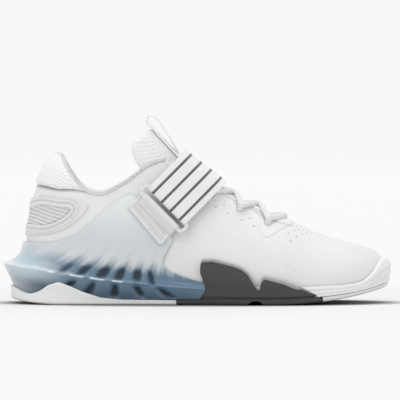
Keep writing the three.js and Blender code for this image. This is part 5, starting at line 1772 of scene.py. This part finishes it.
def build_ring(hoop, thick):
    reach = 1 + (BAR + 0.8) / (STRAP_WIDTH / 2)
    ends = []
    for end in (-1.0, 1.0):
        _, _, bar, tangent = strap_course(hoop, end, thick)
        ends.append((bar, bar + tangent * (RING_SLOT + 2 * BAR - 1.2)))
    corners = []
    for end in (-1, 1):
        f = (1 + end * reach) / 2
        corners.append([on_strap(mix(ends[0][k], ends[1][k], f), end * reach) for k in (0, 1)])
    loop = [corners[0][0], corners[1][0], corners[1][1], corners[0][1]]
    out = unit(np.cross(loop[1] - loop[0], loop[3] - loop[0]))
    path = []
    for i, corner in enumerate(loop):
        before = corner + unit(loop[i - 1] - corner) * 1.9 * BAR
        after = corner + unit(loop[(i + 1) % 4] - corner) * 1.9 * BAR
        for f in np.linspace(0, 1, 9):
            path.append(before * (1 - f) ** 2 + corner * 2 * f * (1 - f) + after * f * f)
    path = np.array(path)
    dense = []
    for a, b in zip(path, np.roll(path, -1, axis=0)):
        steps = max(int(np.linalg.norm(b - a) / 1.5), 1)
        dense.extend(a + (b - a) * f for f in np.arange(steps) / steps)
    path = np.array(dense)
    ahead = unit(np.roll(path, -1, axis=0) - np.roll(path, 1, axis=0))
    side = np.cross(out, ahead)
    a = np.linspace(0, 2 * math.pi, 18, endpoint=False)
    square = np.abs(np.cos(a)) ** 4 + np.abs(np.sin(a)) ** 4
    radius = BAR / square**0.25 * 0.97
    round_a, round_b = (radius * np.cos(a))[None, :, None], (radius * np.sin(a))[None, :, None]
    ring = path[:, None] + out * round_a + side[:, None] * round_b
    faces = grid_faces(len(path), len(a), wrap_rows=True, wrap_cols=True)
    make_piece("strap_ring_frame", ring, faces, moulded, ["strap_ring"], lay_of(ring))
    build_sleeve((corners[0][1], corners[1][1]))


# One end of the keeper's rolled edge: share along the bar and size there
SLEEVE_END = [(0.1, 0.55), (0.105, 0.82), (0.12, 0.96), (0.15, 1.0)]


def build_sleeve(bar_ends):
    """The keeper's rolled edge that holds the ring's lower bar."""
    a, b = bar_ends
    run = unit(b - a)
    middle = (a + b) / 2
    plate = np.array([[along(x), up(z)] for x, z in PANEL]).mean(axis=0)
    u, t = place_at(OUT, plate[0], plate[1])
    down = raised(u, OUT, t, np.float64(4.2)) - middle
    down = unit(down - run * (down @ run))
    out = np.cross(run, down)
    out = out * (-1 if out[1] > 0 else 1)
    turns = np.linspace(-1.9, 1.9, 22)
    radius = BAR + 1.15
    shape = [(-radius * math.cos(v), radius * math.sin(v)) for v in turns]
    shape += [(5.5, 1.25), (7.5, 0.6), (7.5, -0.9), (5.5, -1.3)]
    shape = closed_curve(shape, 3)
    rows = []
    for f, size in (*SLEEVE_END, (0.5, 1.0), *[(1.0 - f, size) for f, size in SLEEVE_END[::-1]]):
        rows.append([mix(a, b, f) + down * p[0] * mix(1, size, 0.7) + out * p[1] * size for p in shape])
    ring = np.array(rows)
    make_piece(
        "strap_keeper_sleeve", ring, tube_faces(*ring.shape[:2]), moulded, lay=lay_of(ring)
    )


def build_keeper():
    corners = np.array([[along(a), up(b)] for a, b in PANEL])
    middle = corners.mean(axis=0)
    outline = []
    for i in range(4):
        p, q, r = corners[i - 1], corners[i], corners[(i + 1) % 4]
        a, b = q + unit(p - q) * 3.2, q + unit(r - q) * 3.2
        outline.extend(a * (1 - f) ** 2 + q * 2 * f * (1 - f) + b * f * f for f in np.linspace(0, 1, 7))
    outline = np.array(outline)
    long_way = unit(corners[2] - corners[1])
    cross_way = np.array([-long_way[1], long_way[0]])
    us = np.linspace(0.28, 0.47, 210)
    ts = np.linspace(0.25, 0.98, 230)

    def parts(p):
        """Distance inside the plate, and the two rows of ribs with their wave."""
        flat = p[..., [0, 2]] - middle
        inside = depth_inside(p[..., 0], p[..., 2], outline)
        w = flat @ cross_way
        rows = (bell(w - 2.4, 1.5) + bell(w + 2.4, 1.5)) * smooth(2.0, 3.2, inside)
        return inside, rows, 0.5 * np.cos(flat @ long_way * 2 * math.pi / RIB_PITCH)

    def height(p, uu, tt):
        inside, rows, wave = parts(p)
        border = 0.35 * bell(inside - 1.2, 0.7)
        return 2.3 + 2.6 * smooth(-0.3, 1.0, inside) + border + 0.55 * rows * (0.5 + wave), inside

    def marks(p, uu, tt):
        _, rows, wave = parts(p + outward(uu, OUT, tt) * 4.0)
        # Painted shade in the troughs between the ribs
        return {"groove": np.clip((0.5 - wave) * rows * 0.8, 0, 1)}

    patch("strap_keeper_plate", us, ts, height, moulded, ["strap_keeper"], 4.0, -0.7, marks)


def dots(name, spots, side, lift, radius, material):
    """Small shallow dishes of painted shadow that show the mouths of pinholes."""
    points, faces = [], []
    for x, z in spots:
        u, t = place_at(side, x, z)
        centre, n = raised(u, side, t, np.float64(lift)), outward(u, side, t)
        a = unit(np.cross(n, [0.0, 0.0, 1.0]))
        b = np.cross(n, a)
        start = len(points)
        points += [centre - n * 0.05, centre - n * 0.5]
        for turn in np.linspace(0, 2 * math.pi, 12, endpoint=False):
            points.append(centre + radius * (a * math.cos(turn) + b * math.sin(turn)))
        for k in range(12):
            rim = [start + 2 + k, start + 2 + (k + 1) % 12]
            faces += [[start, *rim], [start + 1, *rim[::-1]]]
    make_piece(name, points, faces, material)


def stitches(name, line, side, lift, pitch, length, radius, material):
    """A row of small rounded stitches along a line in the side view."""
    spots = open_curve(line, pitch)
    u, t = place_at(side, spots[:, 0], spots[:, 1])
    centre, n = raised(u, side, t, np.full(u.shape, float(lift))), outward(u, side, t)
    ahead = unit(np.gradient(centre, axis=0))
    points, faces = [], []
    for p, a, up_ in zip(centre, ahead, n):
        b = np.cross(up_, a)
        start = len(points)
        for f, r in ((-1, 0.35), (-0.6, 0.9), (0, 1.0), (0.6, 0.9), (1, 0.35)):
            for turn in np.linspace(0, 2 * math.pi, 6, endpoint=False):
                points.append(
                    p + a * f * length / 2 + r * radius * (b * math.cos(turn) + up_ * math.sin(turn))
                )
        faces += tube_faces(5, 6, start)
    make_piece(name, points, faces, material)


def build_details(sizes):
    for side, name in ((OUT, "outer"), (IN, "inner")):
        dots(f"pinholes_{name}", PINHOLES, side, 0.12, sizes.pinhole * 500, shadowed)
        stitches(
            f"throat_stitch_{name}", THROAT_SEAM, side, 1.05, 2.0, 1.4, 0.28, thread
        )
    holes = [(float(along(a)), float(up(b))) for a, b in EYELETS]
    for side, name in ((OUT, "outer"), (IN, "inner")):
        dots(f"eyelet_shadow_{name}", holes, side, 0.62, 2.3, shadowed)


def build_insole():
    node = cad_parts["insole"]
    node.data.materials.clear()
    node.data.materials.append(finish_of(insole_cloth))


def build_stage(sizes):
    mesh = bpy.data.meshes.new("studio_floor")
    bend = [(7.0 + 1.5 * math.sin(a), 1.5 - 1.5 * math.cos(a)) for a in np.linspace(0.1, math.pi / 2, 14)]
    profile = [(-9.0, 0.0), (7.0, 0.0), *bend, (8.5, 7.0)]
    points = [(x, y, z - 0.0002) for x in (-10.0, 10.0) for y, z in profile]
    size = len(profile)
    mesh.from_pydata(points, [], [[i, i + 1, size + i + 1, size + i] for i in range(size - 1)])
    mesh.shade_smooth()
    mesh.materials.append(finish_of(floor_paint))
    floor = bpy.data.objects.new("studio_floor", mesh)
    bpy.context.scene.collection.objects.link(floor)
    world = bpy.data.worlds.new("studio")
    world.use_nodes = True
    back = world.node_tree.nodes["Background"]
    back.inputs[0].default_value = (1.0, 1.0, 1.0, 1.0)
    back.inputs[1].default_value = 0.74
    bpy.context.scene.world = world
    middle = Vector((0.095, 0.0, 0.06))
    for name, place, size_m, power in (
        ("key_light", (-0.7, -1.5, 1.7), 1.4, 8.0),
        ("fill_light", (1.3, -1.3, 0.8), 1.4, 2.0),
        ("top_light", (0.1, 0.2, 2.0), 1.6, 11.0),
    ):
        light = bpy.data.lights.new(name, "AREA")
        light.shape = "DISK"
        light.size = size_m
        light.energy = power
        lamp = bpy.data.objects.new(name, light)
        lamp.location = place
        lamp.rotation_euler = (middle - Vector(place)).to_track_quat("-Z", "Y").to_euler()
        bpy.context.scene.collection.objects.link(lamp)
    camera = bpy.data.cameras.new("side_camera")
    camera.sensor_width = 36.0
    distance, lift = 3.2, 1.2
    camera.lens = 36.0 * distance / sizes.view_width
    camera.clip_start, camera.clip_end = 0.05, 60.0
    view = bpy.data.objects.new("side_camera", camera)
    aim = Vector((0.09752, 0.0, 0.0796))
    angle = math.radians(lift)
    view.location = aim + Vector((0, -distance * math.cos(angle), distance * math.sin(angle)))
    view.rotation_euler = (aim - view.location).to_track_quat("-Z", "Y").to_euler()
    bpy.context.scene.collection.objects.link(view)
    bpy.context.scene.camera = view
    bpy.context.scene.view_settings.view_transform = "Standard"


class ShoeSizes(bpy.types.PropertyGroup):
    """Sizes of the dressed shoe"""

    lace_diameter: bpy.props.FloatProperty(
        name="Lace", description="Diameter of the lace", default=0.005, min=0.002, max=0.008, unit="LENGTH"
    )
    strap_thickness: bpy.props.FloatProperty(
        name="Strap",
        description="Thickness of the strap's webbing",
        default=0.0014,
        min=0.0008,
        max=0.003,
        unit="LENGTH",
    )
    slot_depth: bpy.props.FloatProperty(
        name="Cup slots",
        description="Depth of the slots in the heel cup",
        default=0.0026,
        min=0.0,
        max=0.004,
        unit="LENGTH",
    )
    pinhole: bpy.props.FloatProperty(
        name="Pinholes",
        description="Diameter of the pinholes",
        default=0.0011,
        min=0.0004,
        max=0.003,
        unit="LENGTH",
    )
    view_width: bpy.props.FloatProperty(
        name="View",
        description="Width that the camera shows at the shoe",
        default=0.3109,
        min=0.1,
        max=2.0,
        unit="LENGTH",
    )


def shade_of(name, description, value):
    return bpy.props.FloatVectorProperty(
        name=name, description=description, default=value, min=0.0, max=1.0, size=3, subtype="COLOR"
    )


class ShoeColours(bpy.types.PropertyGroup):
    """Colours of the dressed shoe"""

    leather: shade_of("Upper", "White synthetic leather", (0.82, 0.82, 0.82))
    knit: shade_of("Knit", "Collar and tongue knit", (0.9, 0.9, 0.903))
    mesh: shade_of("Mesh", "Heel window mesh", (0.82, 0.82, 0.82))
    film: shade_of("Heel ring", "Moulded ring round the heel window", (0.76, 0.76, 0.765))
    cup_top: shade_of("Cup, wing", "Clear top of the heel cup", (0.79, 0.82, 0.825))
    cup_pale: shade_of("Cup, upper", "Pale upper part of the heel cup", (0.64, 0.675, 0.69))
    cup_blue: shade_of("Cup, ridge", "Blue-grey part of the heel cup", (0.105, 0.19, 0.275))
    cup_heel: shade_of("Cup, heel", "Light blue round the cup's spike", (0.48, 0.6, 0.68))
    cup_low: shade_of("Cup, foot", "Foot of the heel cup", (0.06, 0.105, 0.16))
    # Painted shade in the cup's slots
    cup_slot_shade: shade_of("Cup, slots", "Slots in the heel cup", (0.01, 0.024, 0.042))
    dark: shade_of("Dark rubber", "Forefoot tread and its fins", (0.07, 0.066, 0.07))
    white: shade_of("White rubber", "Heel and toe rubber and the foam", (0.86, 0.86, 0.86))
    webbing: shade_of("Webbing", "Strap webbing", (0.86, 0.86, 0.86))
    stripe: shade_of("Stripes", "Dark lines woven in the strap", (0.055, 0.055, 0.06))
    cord: shade_of("Laces", "Laces and pull tape", (0.9, 0.9, 0.9))
    moulded: shade_of("Ring and keeper", "Moulded strap ring and keeper", (0.75, 0.75, 0.755))
    hole: shade_of("Pinhole", "Shadow in the pinholes", (0.33, 0.33, 0.34))
    thread: shade_of("Thread", "Sewing thread", (0.5, 0.5, 0.51))
    insole: shade_of("Insole", "Insole cloth", (0.55, 0.55, 0.55))
    floor: shade_of("Floor", "Studio floor by the shoe", (0.84, 0.84, 0.84))
    backdrop: shade_of("Backdrop", "Light of the studio backdrop", (0.922, 0.922, 0.922))


class SHOE_OT_stage(bpy.types.Operator):
    """Makes the floor, the lights and the camera"""

    bl_idname = "shoe.stage"
    bl_label = "Stage"

    def execute(self, context):
        build_stage(context.scene.shoe_sizes)
        return {"FINISHED"}


class SHOE_OT_upper(bpy.types.Operator):
    """Makes the hollow upper"""

    bl_idname = "shoe.upper"
    bl_label = "Upper"

    def execute(self, context):
        build_upper()
        return {"FINISHED"}


class SHOE_OT_insole(bpy.types.Operator):
    """Covers the insole with cloth"""

    bl_idname = "shoe.insole"
    bl_label = "Insole"

    def execute(self, context):
        build_insole()
        return {"FINISHED"}


class SHOE_OT_lining(bpy.types.Operator):
    """Makes the padded collar and its edge"""

    bl_idname = "shoe.lining"
    bl_label = "Collar padding"

    def execute(self, context):
        build_lining()
        return {"FINISHED"}


class SHOE_OT_heel_pad(bpy.types.Operator):
    """Makes the knitted heel pad"""

    bl_idname = "shoe.heel_pad"
    bl_label = "Heel pad"

    def execute(self, context):
        build_heel_pad()
        return {"FINISHED"}


class SHOE_OT_counter(bpy.types.Operator):
    """Makes the heel ring and its mesh window"""

    bl_idname = "shoe.counter"
    bl_label = "Heel ring"

    def execute(self, context):
        build_counter()
        return {"FINISHED"}


class SHOE_OT_heel_frame(bpy.types.Operator):
    """Makes the clear heel cup"""

    bl_idname = "shoe.heel_frame"
    bl_label = "Heel cup"

    def execute(self, context):
        build_heel_frame(context.scene.shoe_sizes)
        return {"FINISHED"}


class SHOE_OT_midsole(bpy.types.Operator):
    """Makes the forefoot foam and toe bumper"""

    bl_idname = "shoe.midsole"
    bl_label = "Forefoot foam"

    def execute(self, context):
        build_midsole()
        return {"FINISHED"}


class SHOE_OT_heel_outsole(bpy.types.Operator):
    """Makes the white heel tread"""

    bl_idname = "shoe.heel_outsole"
    bl_label = "Heel tread"

    def execute(self, context):
        build_heel_outsole()
        return {"FINISHED"}


class SHOE_OT_forefoot_outsole(bpy.types.Operator):
    """Makes the dark tread with its fins"""

    bl_idname = "shoe.forefoot_outsole"
    bl_label = "Forefoot tread"

    def execute(self, context):
        build_forefoot_outsole()
        return {"FINISHED"}


class SHOE_OT_toe_outsole(bpy.types.Operator):
    """Makes the white toe tread"""

    bl_idname = "shoe.toe_outsole"
    bl_label = "Toe tread"

    def execute(self, context):
        build_toe_outsole()
        return {"FINISHED"}


class SHOE_OT_tongue(bpy.types.Operator):
    """Makes the padded tongue"""

    bl_idname = "shoe.tongue"
    bl_label = "Tongue"

    def execute(self, context):
        build_tongue()
        return {"FINISHED"}


class SHOE_OT_pull_loop(bpy.types.Operator):
    """Makes the tongue's pull loop"""

    bl_idname = "shoe.pull_loop"
    bl_label = "Pull loop"

    def execute(self, context):
        build_pull_loop()
        return {"FINISHED"}


class SHOE_OT_eyestays(bpy.types.Operator):
    """Makes the lace reinforcements"""

    bl_idname = "shoe.eyestays"
    bl_label = "Eyestays"

    def execute(self, context):
        build_eyestays()
        return {"FINISHED"}


class SHOE_OT_laces(bpy.types.Operator):
    """Makes the lace rows"""

    bl_idname = "shoe.laces"
    bl_label = "Laces"

    def execute(self, context):
        build_laces(context.scene.shoe_sizes)
        return {"FINISHED"}


class SHOE_OT_strap(bpy.types.Operator):
    """Makes the instep strap and its ring"""

    bl_idname = "shoe.strap"
    bl_label = "Strap"

    def execute(self, context):
        build_strap(context.scene.shoe_sizes)
        return {"FINISHED"}


class SHOE_OT_keeper(bpy.types.Operator):
    """Makes the plate that holds the ring"""

    bl_idname = "shoe.keeper"
    bl_label = "Keeper"

    def execute(self, context):
        build_keeper()
        return {"FINISHED"}


class SHOE_OT_details(bpy.types.Operator):
    """Makes pinholes, stitches and eyelet mouths"""

    bl_idname = "shoe.details"
    bl_label = "Pinholes and stitches"

    def execute(self, context):
        build_details(context.scene.shoe_sizes)
        return {"FINISHED"}


STEPS = [
    SHOE_OT_stage,
    SHOE_OT_upper,
    SHOE_OT_insole,
    SHOE_OT_lining,
    SHOE_OT_heel_pad,
    SHOE_OT_counter,
    SHOE_OT_heel_frame,
    SHOE_OT_midsole,
    SHOE_OT_heel_outsole,
    SHOE_OT_forefoot_outsole,
    SHOE_OT_toe_outsole,
    SHOE_OT_tongue,
    SHOE_OT_pull_loop,
    SHOE_OT_eyestays,
    SHOE_OT_laces,
    SHOE_OT_strap,
    SHOE_OT_keeper,
    SHOE_OT_details,
]


class SHOE_PT_panel(bpy.types.Panel):
    """Sizes, colours and steps of the shoe"""

    bl_label = "Lifting shoe"
    bl_space_type = "VIEW_3D"
    bl_region_type = "UI"
    bl_category = "Shoe"

    def draw(self, context):
        for group in (context.scene.shoe_sizes, context.scene.shoe_colours):
            box = self.layout.box()
            for key in group.__annotations__:
                box.prop(group, key)
        for step in STEPS:
            self.layout.operator(step.bl_idname)


CLASSES = [ShoeSizes, ShoeColours, *STEPS, SHOE_PT_panel]


def register():
    for item in CLASSES:
        bpy.utils.register_class(item)
    bpy.types.Scene.shoe_sizes = bpy.props.PointerProperty(type=ShoeSizes)
    bpy.types.Scene.shoe_colours = bpy.props.PointerProperty(type=ShoeColours)


def unregister():
    del bpy.types.Scene.shoe_colours
    del bpy.types.Scene.shoe_sizes
    for item in reversed(CLASSES):
        bpy.utils.unregister_class(item)


def main():
    register()
    for step in STEPS:
        getattr(bpy.ops.shoe, step.bl_idname.removeprefix("shoe."))()


if __name__ == "__main__":
    main()
